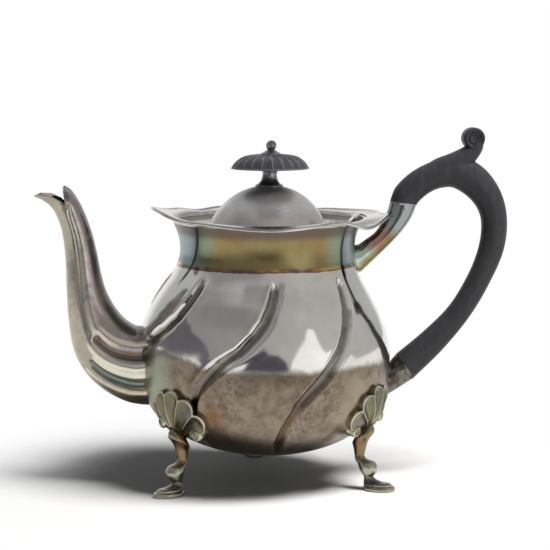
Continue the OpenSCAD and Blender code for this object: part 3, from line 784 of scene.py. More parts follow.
fillet_z = flange_top + fillet
fillet_r = math.sqrt((dome_r + fillet) ** 2 - (fillet_z - dome_centre_z) ** 2)
fillet_end = math.degrees(math.atan2(fillet_z - dome_centre_z, fillet_r))
dome_in = dome_r - wall
lid_outline = (
    [(flange_r - 0.2, flange_z)]
    + arc((flange_r - 0.5, flange_top - 0.5), 0.5, -30, 90, 6)
    + [(45.5, flange_top + 0.06), (42, flange_top + 0.12), (38, flange_top + 0.06)]
    + arc((fillet_r, fillet_z), fillet, 270, 180 + fillet_end, 10)
    + arc((0, dome_centre_z), dome_r, fillet_end + 1, 87.3, 40)
    + arc((0, dome_centre_z), dome_in, 87.3, fillet_end, 24)
    + [(30.9, flange_z), (40, flange_z)]
)
lid = make_piece("lid_dome", leaning(lathe(lid_outline, 160)), sharp=60)
finish(lid, lid_silver, "lid", "polished_silver", "lid")

bezel_r = 45.3
bezel_low = flange_z - 7.8
bezel = (
    [(bezel_r, flange_z - 0.02), (bezel_r - wall, flange_z - 0.02), (bezel_r - wall, bezel_low + 0.3)]
    + arc((bezel_r - wall / 2, bezel_low + 0.45), 0.45, 180, 360, 8)
)
collar = make_piece("lid_collar", lathe(bezel, 128))
finish(collar, inner_silver, "lid", "polished_silver", "lid_bezel")
print("lid dome: fillet ends at", round(fillet_end, 1), "degrees")

# %% [markdown]
# ## The hinge
#
# A hinge like this is three knuckles of tube on one pin: the lid's knuckle turns between
# the pot's two. The lid's knuckle has an ornamental leaf in front of it, chased with
# veins and soldered to the flange. The leaf is a fan of points from its middle to its
# notched outline, raised towards the middle. The tubes are turned round the hinge's own
# axis.

# %% Leaf and knuckles
barrel_r = 2.2
pin_r = 0.8
# Half the length of the lid's knuckle
lid_half = 4
leaf_start = 3.5
# Half of the leaf's outline, back from its root and out from its midrib
leaf_edge = [
    (0, 4), (-0.9, 5.9), (-2.2, 7.6), (-3.4, 9.6), (-4.3, 8.6), (-5.6, 8.8), (-5.7, 7.6), (-6.6, 7.4),
    (-7.2, 6.4), (-8.4, 6.6), (-8.6, 5.4), (-9.4, 4.9), (-9.9, 3.7), (-10.8, 3.8), (-10.9, 2.6),
    (-11.6, 1.9), (-12.2, 0),
]
leaf_t = 1.1
veins = 9
# Clearance between the pin and the lid's knuckle, on the radius
pin_gap = 0.03


def tube(radius, bore, start, end):
    """A tube along Y with softened ends, round the hinge's axis."""
    soft = 0.25
    section = [
        (bore, start), (radius - soft, start), (radius, start + soft),
        (radius, end - soft), (radius - soft, end), (bore, end),
    ]
    return lathe(section, 40, (hinge_x, 0, hinge_z), axis="Y")


def leaf_shape():
    edge = [Vector((x, y)) for x, y in leaf_edge] + [Vector((x, -y)) for x, y in leaf_edge[-2::-1]]
    fine = []
    for a, b in zip(edge, edge[1:] + edge[:1]):
        fine += [a + (b - a) * k / 3 for k in range(3)]
    middle = Vector((-4.6, 0))
    z0 = flange_top + 0.02
    rings = [[(p.x, p.y, z0) for p in fine]]
    for share in (1.0, 0.97, 0.9, 0.78, 0.64, 0.5, 0.36, 0.22, 0.1):
        ring = []
        for p in fine:
            q = middle + (p - middle) * share
            fan = math.atan2(abs(q.y), -(q.x - 1.5))
            vein = abs(math.sin(fan * veins)) * min(share, 1 - share) * 0.9
            crown = 0.42 * (1 - share * share) - 0.25 * min(abs(q.y) * 1.6, 1) * (1 - share)
            low = 0.0 if share < 1 else -0.22
            ring.append((q.x, q.y, z0 + leaf_t - 0.42 + low + crown - vein * 0.4))
        rings.append(ring)
    return loft([[(hinge_x - leaf_start + x, y, z) for x, y, z in ring] for ring in rings])


def strap_shape(y0, y1, x0, x1, top, under):
    """A strap from flat on the flange up to the barrel, between two widths."""
    low = flange_top + 0.02
    section = [(x0, low), (x1, low), (x1, under), (x1, top), (x0, flange_top + leaf_t)]
    return loft([[(x, y, z) for x, z in section] for y in (y0, y1)])


leaf = make_piece(
    "lid_leaf_chased",
    leaf_shape(),
    strap_shape(
        0.05 - lid_half, lid_half - 0.05,
        hinge_x - 4.2, hinge_x - 1.15,
        hinge_z + 1.5, hinge_z - 1.2,
    ),
    tube(barrel_r, pin_r + pin_gap, -lid_half, lid_half),
    sharp=35,
)
finish(leaf, chased_silver, "lid", "polished_silver", "lid_hinge_leaf")

knuckle_gap = 0.25
# The pot's two knuckles, from end to end
spans = [(lid_half + knuckle_gap, hinge_half), (-hinge_half, -lid_half - knuckle_gap)]
web_x0, web_x1 = hinge_x + barrel_r + 0.5, 54.2
web_z0 = hinge_z - barrel_r + 0.3
knuckles = make_piece(
    "pot_knuckles_filed",
    *[tube(barrel_r, pin_r, y0, y1) for y0, y1 in spans],
    *[box_shape((hinge_x + 1.2, y0, web_z0), (web_x1, y1, web_z0 + 1.9)) for y0, y1 in spans],
    box_shape((web_x0, -hinge_half, web_z0), (web_x1, hinge_half, web_z0 + barrel_r)),
    sharp=35,
)
finish(knuckles, dark_silver, "pot", "polished_silver", "pot_hinge_leaf")
print("leaf:", len(leaf.data.polygons), "faces, knuckles:", len(knuckles.data.polygons))

# %% [markdown]
# ## The knob
#
# A turned silver stem carries a disc of ebonised wood, carved like a daisy with hollow
# petals. A ball-headed bolt with a cap above, and a washer and a nut under the dome,
# hold them to the lid. Every petal of the disc is the
# same, so Geometry Nodes copy one petal round, merge the seams and set the wood. The
# petal lies a little askew, as a carver's gouge leaves it.

# %% Stem, cap and bolt
stem_top = 158.1
disc_top = 166.1
bore_r = 1.6


def dome_z(r):
    return dome_centre_z + math.sqrt(dome_r ** 2 - r * r)


plate_z = dome_z(7.7)
waist = [(7.0, plate_z + 1.3), (5.0, dome_top + 0.9), (2.9, dome_top + 5.2), (4.7, stem_top - 0.5)]
stem_outline = (
    [(bore_r, dome_z(bore_r) + 0.05), (4, dome_z(4) + 0.05), (7.4, dome_z(7.4) + 0.05)]
    + arc((7.35, plate_z + 0.5), 0.4, -60, 80, 5)
    + [(7.3, plate_z + 1.25)]
    + bezier_points(waist, 20)
    + [(4.75, stem_top - 0.02), (bore_r, stem_top - 0.02)]
)

cap_curve = [(5.2, disc_top + 0.62), (4.4, disc_top + 1.3), (3.2, disc_top + 1.6), (2.3, disc_top + 2.5)]
cap_outline = (
    [(bore_r, disc_top + 0.02), (5.6, disc_top + 0.02)]
    + arc((5.4, disc_top + 0.3), 0.3, -50, 90, 6)
    + bezier_points(cap_curve, 10)
    + [(bore_r, disc_top + 2.5)]
)

ball_z = 170.9
bolt_outline = (
    [(0, 143.2), (1.5, 143.2)]
    + [(1.5, disc_top + 2.4), (2.2, disc_top + 2.45)]
    + arc((0, ball_z), 2.9, -52, 89, 22)
    + [(0, ball_z + 2.9)]
)

washer_r, washer_bore = 4.5, 1.56
washer_top = dome_centre_z + math.sqrt(dome_in ** 2 - washer_r ** 2) - 0.03
washer_z = washer_top - 0.8
washer_outline = [
    (washer_bore, washer_z), (washer_r - 0.1, washer_z), (washer_r, washer_z + 0.1),
    (washer_r, washer_top), (washer_bore, washer_top),
]
for name, outline, sides in (
    ("knob_stem_turned", stem_outline, 72),
    ("knob_cap_turned", cap_outline, 64),
    ("knob_bolt_turned", bolt_outline, 48),
    ("knob_washer_stamped", washer_outline, 48),
):
    piece = make_piece(name, leaning(lathe(outline, sides)))
    finish(piece, dark_silver, "lid", "dark_silver", name.rsplit("_", 1)[0])

nut_bore, nut_half = 1.53, 2.75
nut_low, nut_high = washer_z - 2.4, washer_z - 0.02
nut_rings = []
for share, z in ((0, nut_low), (0.9, nut_low), (1, nut_low + 0.3), (1, nut_high), (0, nut_high)):
    corners = []
    for k in range(24):
        # How far out the six flats are in this direction
        flat = nut_half / math.cos(math.radians((k * 15 + 30) % 60 - 30))
        corners.append(round_point(nut_bore + (flat - nut_bore) * share, k * 15, z))
    nut_rings.append(corners)
nut = make_piece("knob_nut_cut", leaning(loft(nut_rings, "loop")), sharp=25)
finish(nut, dark_silver, "lid", "dark_silver", "knob_nut")
print("knob metal done")

# %% One petal of the disc, copied round
petals = 22
brim = [(21.5, stem_top + 0.4), (20.6, stem_top + 2.2), (18.4, stem_top + 6), (13.3, stem_top + 7.25)]
crown = [brim[-1], (10.5, stem_top + 7.85), (8.5, disc_top), (5.6, disc_top)]
disc_outline = (
    [(bore_r, stem_top), (17.5, stem_top), (20.6, stem_top + 0.05), (21.3, stem_top + 0.12)]
    + bezier_points(brim, 18)
    + bezier_points(crown, 12)[1:]
    + [(bore_r, disc_top)]
)


def petal_shape():
    """A sector of the disc, ridged at its two sides and hollow between, with a slight swirl."""
    across_steps = 12
    rings = []
    for i in range(across_steps + 1):
        share = i / across_steps
        hollow = math.sin(math.pi * share) ** 0.8
        ring = []
        for r, z in disc_outline:
            swirl = 5.0 * ramp((r - 5.5) / 16)
            angle = (share - 0.5) * 360 / petals + swirl
            on_top = ramp((r - 5.8) / 2.5) * ramp((z - stem_top - 0.3) / 1.5)
            on_side = ramp((r - 15) / 5) * on_top
            pressed_z = z - 0.8 * hollow * (on_top - on_side)
            ring.append(round_point(r - 0.6 * hollow * on_side, angle, pressed_z))
        rings.append(ring)
    return loft(rings, "open")


petal_tree, sizes = new_tree("petals_round_the_disc", Petals=petals, Merge=0.00003)
spin_points = add_node(petal_tree, "GeometryNodeMeshLine", {
    "Count": sizes["Petals"], "Start Location": (AXIS.x * MM, AXIS.y * MM, 0), "Offset": (0, 0, 0),
}, mode="OFFSET")
number = add_node(petal_tree, "GeometryNodeInputIndex")
part = add_node(petal_tree, MATH, {0: number, 1: sizes["Petals"]}, operation="DIVIDE")
turn = add_node(petal_tree, MATH, {0: part, 1: math.tau}, operation="MULTIPLY")
spin = add_node(petal_tree, "ShaderNodeCombineXYZ", {"Z": turn})
home = add_node(petal_tree, "GeometryNodeTransform", {
    "Geometry": sizes["Geometry"], "Translation": (-AXIS.x * MM, -AXIS.y * MM, 0),
})
copies = add_node(petal_tree, "GeometryNodeInstanceOnPoints", {
    "Points": spin_points, "Instance": home, "Rotation": spin,
})
solid = add_node(petal_tree, "GeometryNodeRealizeInstances", {"Geometry": copies})
merged = add_node(petal_tree, "GeometryNodeMergeByDistance", {
    "Geometry": solid, "Distance": sizes["Merge"],
})
end_tree(petal_tree, merged, sizes["Material"])

disc = make_piece("knob_disc_carved", petal_shape())
run_tree(disc, petal_tree, black_wood)
freeze(disc, sharp=50)
shell = bmesh.new()
shell.from_mesh(disc.data)
for point in shell.verts:
    point.co.x += dome_lean * (point.co.z - (AXIS.z + lean_from) * MM)
# The bore's wall closes the disc between its top and its underside
bmesh.ops.holes_fill(shell, edges=[e for e in shell.edges if e.is_boundary])
bmesh.ops.recalc_face_normals(shell, faces=shell.faces)
shell.to_mesh(disc.data)
shell.free()
finish(disc, black_wood, "lid", "ebonised_wood", "knob_disc")
print("disc:", petals, "petals,", len(disc.data.polygons), "faces")

# %% [markdown]
# ## The spout
#
# A spout like this is cast or seamed up from sheet in two halves. Two rails, the outer
# and the inner curve of its profile, carry an oval section from the belly to the lip.
# Gadroons from the body run onto its root and end in round-ended hollows, and between
# them a shallow hollow goes on up the neck. At the mouth the lower lip runs out to a
# point and the hood stands up behind it like the tip of a leaf.

# %% Spout sizes
spout_wall = 1.2
# Rails: out from the belly and up from the underside, outer then inner, and half width
spout_rails = [
    (-1.4, 28, 1.9, 72.2, 17.0), (10.4, 30.2, 5.9, 73, 16.7), (22.4, 36.6, 10.9, 76.4, 15.6),
    (32.4, 46, 15.4, 81.6, 14.3), (39.2, 59, 19, 87.4, 12.6), (42, 76, 21.8, 93.8, 11.2),
    (42.9, 94, 24, 102.5, 9.9), (43.4, 111, 26.2, 114, 8.8), (45.3, 126, 29.2, 126, 8.2),
    (49.6, 136.5, 34, 138.3, 7.8), (54.9, 141, 39.2, 146, 7.5), (60.4, 143.1, 43.4, 148.8, 6.8),
]
spout_rows = smooth_rows([
    (-(belly_r + a), b, -(belly_r + c), d, w) for a, b, c, d, w in spout_rails
], 10)
# The mouth's edge: round from the lip in degrees, then x, half width and height
mouth_edge = [
    (0, -127.9, 0.0, 144.2), (20, -124.6, 3.3, 145.2), (40, -118.6, 5.4, 144.6),
    (56, -114.0, 6.5, 142.4), (69, -110.7, 6.9, 138.0), (80, -110.9, 6.8, 140.8),
    (110, -111.2, 6.1, 144.6), (145, -111.2, 3.9, 147.8), (180, -110.7, 0.0, 149.9),
]
# The mouth is a little higher on one side than on the other, by this share of its width
mouth_tilt = 0.13
# Middle lines of the two root hollows: share of the spout's length, degrees round from
# the outer rail
hollow_high = [(0, 113), (0.12, 105), (0.24, 92), (0.36, 82), (1, 81)]
hollow_low = [(0, 67), (0.12, 60), (0.22, 51), (0.32, 44)]


def dent(x):
    """A round-bottomed hollow between -1 and 1 with a low lip at each side."""
    x = abs(x)
    if x < 1:
        return (1 - x * x) ** 1.5
    return -0.1 * math.exp(-((x - 1.4) / 0.35) ** 2)


def spout_hollow(s, around):
    """How far the wall is pressed in, in millimetres, for the high and the low hollow."""
    high = (around - table_value(hollow_high, s)) / 13
    low = (around - table_value(hollow_low, s)) / 12
    high_depth = 0.7 * ramp((1.02 - s) / 0.12) + 2.1 * ramp((0.345 - s) / 0.03)
    low_depth = 2.6 * ramp((0.305 - s) / 0.03)
    return high_depth * dent(high), low_depth * dent(low)


print("spout rows:", len(spout_rows))

# %% Spout
spout_sides = 144
lip_wall = 0.9
# The spout begins this deep in the body's wall
spout_sunk = 0.5


def edge_value(around, column):
    return table_value([(row[0], row[column]) for row in mouth_edge], around)


def spout_ring(i, inset):
    last = len(spout_rows) - 1
    s = i / last
    row = spout_rows[i]
    ring = oval_ring(row, spout_sides, inset)
    end_ring = oval_ring(spout_rows[last], spout_sides)
    centre = Vector(((row[0] + row[2]) / 2, 0, (row[1] + row[3]) / 2))
    opening = ramp((s - 0.74) / 0.26) ** 1.15
    result = []
    for k, p in enumerate(ring):
        degrees = 360 * k / spout_sides
        around = min(degrees, 360 - degrees)
        side = 1 if degrees < 180 else -1
        out = (p - centre).normalized()
        shaped = p - out * sum(spout_hollow(s, around))
        edge = Vector((edge_value(around, 1), side * edge_value(around, 2), edge_value(around, 3)))
        edge.z += mouth_tilt * edge.y
        result.append(shaped + (edge - end_ring[k]) * opening)
    return result


def on_body(ring, side, depth):
    """Moves a ring along X, to side -1 or 1, until it lies in the body at a depth."""
    moved = []
    for p in ring:
        x = math.sqrt(max(outside_r(p.z) ** 2 - p.y ** 2, 0)) - depth
        moved.append(Vector((side * x, p.y, p.z)))
    return moved


last = len(spout_rows) - 1
# After the root, the spout's surface goes on from this row
first_free = 3
rings = [on_body(spout_ring(0, 0), -1, spout_sunk)]
rings += [spout_ring(i, 0) for i in range(first_free, last + 1)]
# The lip's edge is rounded over to the wall's inside
rounded = []
for outer, inner, below in zip(rings[-1], spout_ring(last, lip_wall), rings[-2]):
    rounded.append(outer + (inner - outer) * 0.35 + (outer - below) * 0.12)
rings.append(rounded)
rings += [spout_ring(i, lip_wall) for i in range(last, first_free, -4)]
rings.append(on_body(spout_ring(0, spout_wall), -1, spout_sunk))
spout = make_piece("spout_gadrooned", loft(rings, "loop"), sharp=60)

# The finish needs to know what is pressed in, and how far round from the outer rail
outside_rows = [0] + list(range(first_free, last + 1))
facts = []
for i in outside_rows:
    for k in range(spout_sides):
        around = min(360 * k / spout_sides, 360 - 360 * k / spout_sides)
        facts.append((*spout_hollow(i / last, around), around))
facts += [(0, 0, 90)] * (len(spout.data.vertices) - len(facts))
columns = zip(("high_hollow", "low_hollow", "round"), zip(*facts))
add_attributes(spout.data, **dict(columns))
finish(spout, spout_silver, "pot", "tarnished_silver", "spout")
print("spout:", len(spout.data.vertices), "points of", len(rings) * spout_sides)

# %% [markdown]
# ## The handle and its sockets
#
# The handle is carved from one piece of close-grained wood and blackened. Silver does
# not hold wood by glue alone, so its two ends sit in silver sockets with a pin through
# each. The same rails that gave the spout its curve give these theirs. The thumb scroll
# is a leaf that rises from the grip and rolls over into a volute.

# %% Sockets
handle_w = 6.4
socket_wall = 1.0
# The sockets begin this deep in the body's wall
socket_sunk = 0.4
# A row is a point on each of the two rails, out from the belly and up, and half the
# width as a share of the handle's
upper_rails = [
    (-15.8, 100, -17.2, 115.4, 1.05), (-7.6, 107.7, -12.6, 118.6, 0.90),
    (0.9, 115.8, -7.1, 122.8, 0.84), (7.9, 123.2, -2.8, 129.5, 0.88),
    (12.9, 130.4, -0.3, 134.6, 0.93), (16, 137.8, 1.1, 139.9, 0.97),
]
lower_rails = [
    (-1.6, 30, 1.6, 49.4, 1.10), (6.6, 34.8, 3.2, 51.6, 1.02), (15.1, 40.1, 5.2, 53.8, 0.97),
]
handle_rails = [
    (1.1, 140, 16, 137.9, 0.97), (4.6, 148, 18.9, 141, 1.0), (14, 156.4, 24.2, 144.8, 1.03),
    (27, 162.3, 30, 146.8, 1.06), (41.2, 164, 36.6, 146.8, 1.08), (53.8, 157.8, 44.6, 142, 1.06),
    (63.4, 145, 50.4, 135.2, 1.03), (67.4, 129.3, 52.9, 126.5, 1.0), (65.8, 112, 51.6, 113.8, 0.97),
    (58.4, 94.2, 46, 98.6, 0.95), (47.2, 75.1, 35.4, 81, 0.94), (31.8, 56.3, 21.2, 66.9, 0.94),
    (15.1, 40.2, 5.2, 53.9, 0.97),
]


def rail_rows(rails, steps):
    rows = [(belly_r + a, b, belly_r + c, d, w * handle_w) for a, b, c, d, w in rails]
    return smooth_rows(rows, steps)


def swapped(row):
    return [row[2], row[3], row[0], row[1], row[4]]


def socket_shape(rows, sides=64):
    """A thin-walled tube from the body, with a rolled edge where the wood enters."""
    # Each step is a row and how far inside the rails it lies
    steps = [(row, 0) for row in rows[2:-2]]
    steps += [(rows[-2], -0.28), (rows[-1], -0.24), (rows[-1], 0.5)]
    steps += [(row, socket_wall) for row in rows[:2:-2]]
    return loft(
        [on_body(oval_ring(rows[0], sides), 1, socket_sunk)]
        + [oval_ring(row, sides, inset) for row, inset in steps]
        + [on_body(oval_ring(rows[0], sides, socket_wall), 1, socket_sunk)],
        "loop",
    )


for end, rails, steps in (("upper", upper_rails, 10), ("lower", lower_rails, 14)):
    socket = make_piece(end + "_socket_raised", socket_shape(rail_rows(rails, steps)), sharp=55)
    finish(socket, socket_silver, "pot", "tarnished_silver", end + "_handle_socket")
print("sockets done")

# %% Handle with its thumb scroll
scroll_at = Vector((belly_r + 47.6, 0, 174.25))
scroll_w = 10.0
scroll_leaf = [
    (18, 157.4, 28, 148, 0.95), (26, 162.7, 38, 152.5, 0.98), (34, 165.7, 45.5, 157.6, 0.92),
    (40.2, 168.4, 50.2, 163.2, 0.86), (44.0, 170.6, 53.0, 168.2, 0.80), (46.0, 172.6, 53.6, 172.8, 0.76),
]


def closed_tube(rows, sides, inset=0):
    """A solid bar along rows of rails, with its two ends rounded off."""
    first = oval_ring(rows[0], sides, inset)
    end = oval_ring(rows[-1], sides, inset)
    first_tip = [p * 0.3 + sum(first, Vector()) / sides * 0.7 for p in first]
    end_tip = [p * 0.3 + sum(end, Vector()) / sides * 0.7 for p in end]
    return loft([first_tip] + [oval_ring(row, sides, inset) for row in rows] + [end_tip])


handle_rows = rail_rows(handle_rails, 10)
tenon_gap = 1.02
upper_tenon = [swapped(row) for row in rail_rows(upper_rails, 10)[32:]]
lower_tenon = rail_rows(lower_rails, 14)[8:]


def volute_shape():
    """The rolled end: a drum along Y with soft edges, hollowed a little in each face."""
    r, w = 6.05, scroll_w / 2
    half = [
        (0, w - 0.9), (2.0, w - 0.85), (2.6, w - 0.45), (3.1, w - 0.9),
        (4.2, w - 0.35), (5.0, w - 0.05), (5.7, w - 0.5), (r, w - 1.4),
    ]
    outline = half + [(q, -h) for q, h in half[::-1]]
    return lathe(outline, 56, scroll_at, axis="Y")


handle = make_piece(
    "handle_carved",
    closed_tube(handle_rows, 56),
    closed_tube(upper_tenon, 40, tenon_gap),
    closed_tube(lower_tenon, 40, tenon_gap),
    closed_tube(rail_rows(scroll_leaf, 8), 40),
    volute_shape(),
    sharp=50,
)
finish(handle, black_wood, "pot", "ebonised_wood", "handle")


def pin_shape(x, z, half):
    """A rivet along Y whose two ends are domed by the hammer."""
    ends = [(0, half + 0.32), (0.55, half + 0.27), (0.95, half + 0.02), (1.0, half - 0.15)]
    outline = ends + [(r, -h) for r, h in ends[::-1]]
    return lathe(outline, 24, (x, 0, z), axis="Y")


pin_half = 6.2
for name, x, z in (("upper_handle_pin", 74.94, 135.14), ("lower_handle_pin", 74.83, 44.86)):
    pin = make_piece(name + "_riveted", pin_shape(x, z, pin_half))
    finish(pin, dark_silver, "pot", "dark_silver", name)
print("handle:", len(handle.data.polygons), "faces")

# %% [markdown]
# ## The three feet
#
# Each foot is one casting: a scallop shell that lies on the belly, a collar and a bent
# leg with a round knuckle, and a two-stepped pad that points outwards. Casting gives
# soft edges, so nothing here is quite sharp except the shell's ribs. A foot is made once
# in its own upright plane, and then turned to its three places round the belly.

# %% The scallop shell
foot_circle_r = 66.3
foot_h = 16
shell_z = 17.6
shell_reach = 26.2
shell_spread = 57
shell_ribs = 5
# The front shells lean towards the front of the pot by this angle
shell_lean = 22


def shell_point(share, degrees, off, foot_at):
    """A point off the belly by `off`, at a share of the way from the shell's root to its edge."""
    wave = abs(math.cos(math.radians(degrees * 90 * shell_ribs / shell_spread)))
    lean = -math.sin(math.radians(foot_at)) * shell_lean
    scallop = 0.96 + 0.1 * wave - 0.42 * ((degrees - 0.9 * lean) / 75) ** 2
    reach = 2 + (shell_reach * scallop - 2) * share
    way = math.radians(degrees + lean)
    z = shell_z + reach * math.cos(way)
    across = reach * math.sin(way)
    n = outline_normal(z)
    turn = math.degrees(across / outside_r(z))
    off += wall_bulge(foot_at + turn, z)
    return round_point(outside_r(z) + off * n.x, foot_at + turn, z + off * n.y)


def shell_top(share, degrees):
    """Height of the shell over the belly: hollow between sharp ribs, with a lip that lifts."""
    ridge = 1 - abs(math.cos(math.radians(degrees * 90 * shell_ribs / shell_spread)))
    thick = 2.5 - 1.0 * share
    lift = 1.0 * ramp((share - 0.8) / 0.2)
    return thick + 2.1 * ridge ** 1.4 * ramp(share / 0.35) + lift * (1 - ridge)


def shell_shape(foot_at):
    columns = 112
    steps = [i / 22 for i in range(23)]
    rings = []
    for i in range(columns + 1):
        a = shell_spread * (2 * i / columns - 1)
        top = [shell_point(s, a, shell_top(s, a), foot_at) for s in steps]
        edge = [shell_point(s, a, shell_top(1, a) - d, foot_at) for s, d in ((1.02, 0.45), (1.01, 1.0))]
        back = [shell_point(s, a, 0.2, foot_at) for s in steps[::-4]]
        rings.append(top + edge + back)
    return loft(rings)


def rolled_lobe(side, foot_at):
    """The little scroll at each lower corner of the shell."""
    rings = []
    centre = shell_point(0.66, side * 60, 2.2, foot_at)
    out = Vector((centre.x, centre.y, -14)).normalized()
    across = Vector((-out.y, out.x, 0)).normalized()
    up = out.cross(across)
    # A bun with a dimple in its face: how wide each ring is and how far it stands out
    for r, off in (
        (4.0, -2.4), (4.1, 0), (3.9, 1.2), (3.4, 2.2),
        (2.6, 2.7), (1.8, 2.4), (0.9, 2.2), (0.02, 2.4),
    ):
        ring = []
        for k in range(28):
            b = math.tau * k / 28
            swirl = 1 + 0.07 * math.sin(b + 0.9 * off)
            away = (across * math.cos(b) + up * math.sin(b)) * r * 0.85 * swirl
            ring.append(centre + out * off + away)
        rings.append(ring)
    return loft(rings)


# %% Leg, knuckle and pad
# Rails in the foot's own plane: outer radius and height, inner ones, and half width
leg_rails = [
    (61.4, 37.6, 54.0, 31.0, 2.4), (63.9, 35.4, 53.4, 28.6, 4.2), (64.4, 32.0, 52.6, 27.0, 4.8),
    (62.0, 28.8, 52.0, 25.6, 4.2), (60.4, 25.6, 52.4, 23.8, 3.0), (59.5, 22.0, 53.0, 21.2, 2.6),
    (58.8, 18.8, 53.4, 18.4, 2.6), (60.0, 17.0, 54.0, 16.0, 3.4), (64.4, 15.6, 55.4, 14.2, 4.4),
    (66.3, 12.6, 56.0, 12.2, 4.9), (65.4, 9.5, 57.0, 9.6, 4.2), (63.6, 7.6, 58.0, 7.5, 3.1),
    (64.4, 5.8, 57.8, 5.3, 3.4), (69.0, 4.2, 57.6, 3.4, 4.6), (69.8, 3.2, 57.6, 2.6, 4.8),
]


def leg_shape():
    return loft([
        [(p.y, -p.x, p.z - foot_h) for p in oval_ring(row, 36)]
        for row in smooth_rows(leg_rails, 5)
    ])


def pad_shape(steps):
    """An oval plate from (inset, height) steps, its long way outwards."""
    rings = []
    for inset, z in steps:
        ring = []
        for k in range(56):
            a = math.tau * k / 56
            x, y = (pad_half_w - inset) * math.cos(a), (pad_half_l - inset) * math.sin(a)
            ring.append((x, y - foot_circle_r, z - foot_h))
        rings.append(ring)
    return loft(rings)


pad_half_w, pad_half_l = 6.55, 9.1
pad_low = [(0.7, 0), (0.15, 0.35), (0, 0.9), (0.05, 1.7), (0.5, 2.4), (1.3, 2.75), (1.5, 2.6)]
pad_high = [(1.9, 2.4), (1.75, 3.0), (1.9, 3.6), (2.6, 4.1), (3.6, 4.3)]


def turned_shape(shape, degrees):
    """Turns a shape to its place round the pot; the legs lean a little towards the spout."""
    a = math.radians(degrees)
    c, s = math.cos(a), math.sin(a)
    points, faces = shape
    lean = [1.1 * ramp((p[2] + foot_h - 4) / 8) for p in points]
    return [(p[0] * c - p[1] * s - d, p[0] * s + p[1] * c, p[2]) for p, d in zip(points, lean)], faces


leg_parts = [leg_shape(), pad_shape(pad_low), pad_shape(pad_high)]
for name, degrees in (("front_left_foot", -60), ("front_right_foot", 60), ("back_foot", 180)):
    parts = [shell_shape(degrees), rolled_lobe(-1, degrees), rolled_lobe(1, degrees)]
    parts += [turned_shape(part, degrees) for part in leg_parts]
    foot = make_piece(name + "_cast", *parts, sharp=60)
    finish(foot, foot_silver, "pot", "cast_silver", name)
print("foot:", len(foot.data.polygons), "faces")

# %% [markdown]
# ## Colours and patterns
#
# Silver is a mirror, so its colour is the colour of what it reflects, multiplied by its
# own. Clean silver is nearly white. Tarnish is a thin film that takes blue light first:
# it turns silver straw, then brown, then violet and blue. Each finish below starts from
# a clean colour and lays coats of tarnish over it where it gathers on a real pot: in
# hollows, near the table and where no cloth reaches.
#
# A coat is a colour and the shares of its mask, which are multiplied. A share is a
# number, a node, or a window: a value with where it begins to show and where it is
# full. A colour is written as the code that a screen shows. Patterns are placed by
# Object coordinates, in metres from the origin, and their sizes are in millimetres.

# %% Functions that build finishes
def colour(code):
    """A screen colour such as "c8beb0" as linear light."""
    shown = [int(code[i:i + 2], 16) / 255 for i in (0, 2, 4)]
    return [c / 12.92 if c <= 0.04045 else ((c + 0.055) / 1.055) ** 2.4 for c in shown] + [1]


def open_material(material, *patterns, metal=True):
    """The tree, surface and place, and blotches of each (size in millimetres, detail)."""
    material.use_nodes = True
    tree = material.node_tree
    surface = tree.nodes["Principled BSDF"]
    surface.inputs["Metallic"].default_value = 1 if metal else 0
    place = add_node(tree, "ShaderNodeTexCoord").outputs["Object"]
    return tree, surface, place, [add_node(tree, "ShaderNodeTexNoise", {
        "Vector": place, "Scale": 1000 / size, "Detail": detail, "Roughness": 0.6,
    }) for size, detail in patterns]


def height(tree, place):
    """How high a point is above the table, in millimetres."""
    z = add_node(tree, "ShaderNodeSeparateXYZ", {0: place}).outputs["Z"]
    return add_node(tree, MATH, {0: z, 1: 1000}, operation="MULTIPLY")


def way_round(tree, place):
    """The direction from the pot's axis in degrees: 0 in front, 90 at the handle."""
    at = add_node(tree, "ShaderNodeSeparateXYZ", {0: place})
    x = add_node(tree, MATH, {0: at.outputs["X"], 1: AXIS.x * MM}, operation="SUBTRACT")
    y = add_node(tree, MATH, {0: AXIS.y * MM, 1: at.outputs["Y"]}, operation="SUBTRACT")
    turn = add_node(tree, MATH, {0: x, 1: y}, operation="ARCTAN2")
    return add_node(tree, MATH, {0: turn, 1: math.degrees(1)}, operation="MULTIPLY")


def ragged(tree, value, pattern, by):
    """The value, moved by the pattern up to about half of `by` either way."""
    shift = add_node(tree, MATH, {0: pattern, 1: 0.5}, operation="SUBTRACT")
    return add_node(tree, MATH, {0: shift, 1: by, 2: value}, operation="MULTIPLY_ADD")


def mask(tree, *shares):
    """All shares multiplied; a window (value, low, high) is 0 at low and 1 at high."""
    whole = None
    for share in shares:
        if isinstance(share, tuple):
            share = add_node(tree, "ShaderNodeMapRange", {
                "Value": share[0], "From Min": share[1], "From Max": share[2],
            }, interpolation_type="SMOOTHSTEP")
        if whole is None:
            whole = share
        else:
            whole = add_node(tree, MATH, {0: whole, 1: share}, operation="MULTIPLY")
    return whole


def coats(tree, film, *layers):
    """Lays coats over a first colour, each a colour or a film and the shares of its mask."""
    for layer, *shares in layers:
        first, second = [colour(c) if isinstance(c, str) else c for c in (film, layer)]
        film = add_node(tree, "ShaderNodeMix", {
            0: mask(tree, *shares), 6: first, 7: second,
        }, data_type="RGBA")
    return film


def stain(tree, place, centre, radius, pattern):
    """The window of a ragged patch about a point, for a mask."""
    far = add_node(tree, "ShaderNodeVectorMath", {
        0: place, 1: (Vector(centre) + AXIS) * MM,
    }, operation="DISTANCE").outputs["Value"]
    return ragged(tree, far, pattern, -radius * MM * 2.4), radius * MM, radius * MM * 0.35


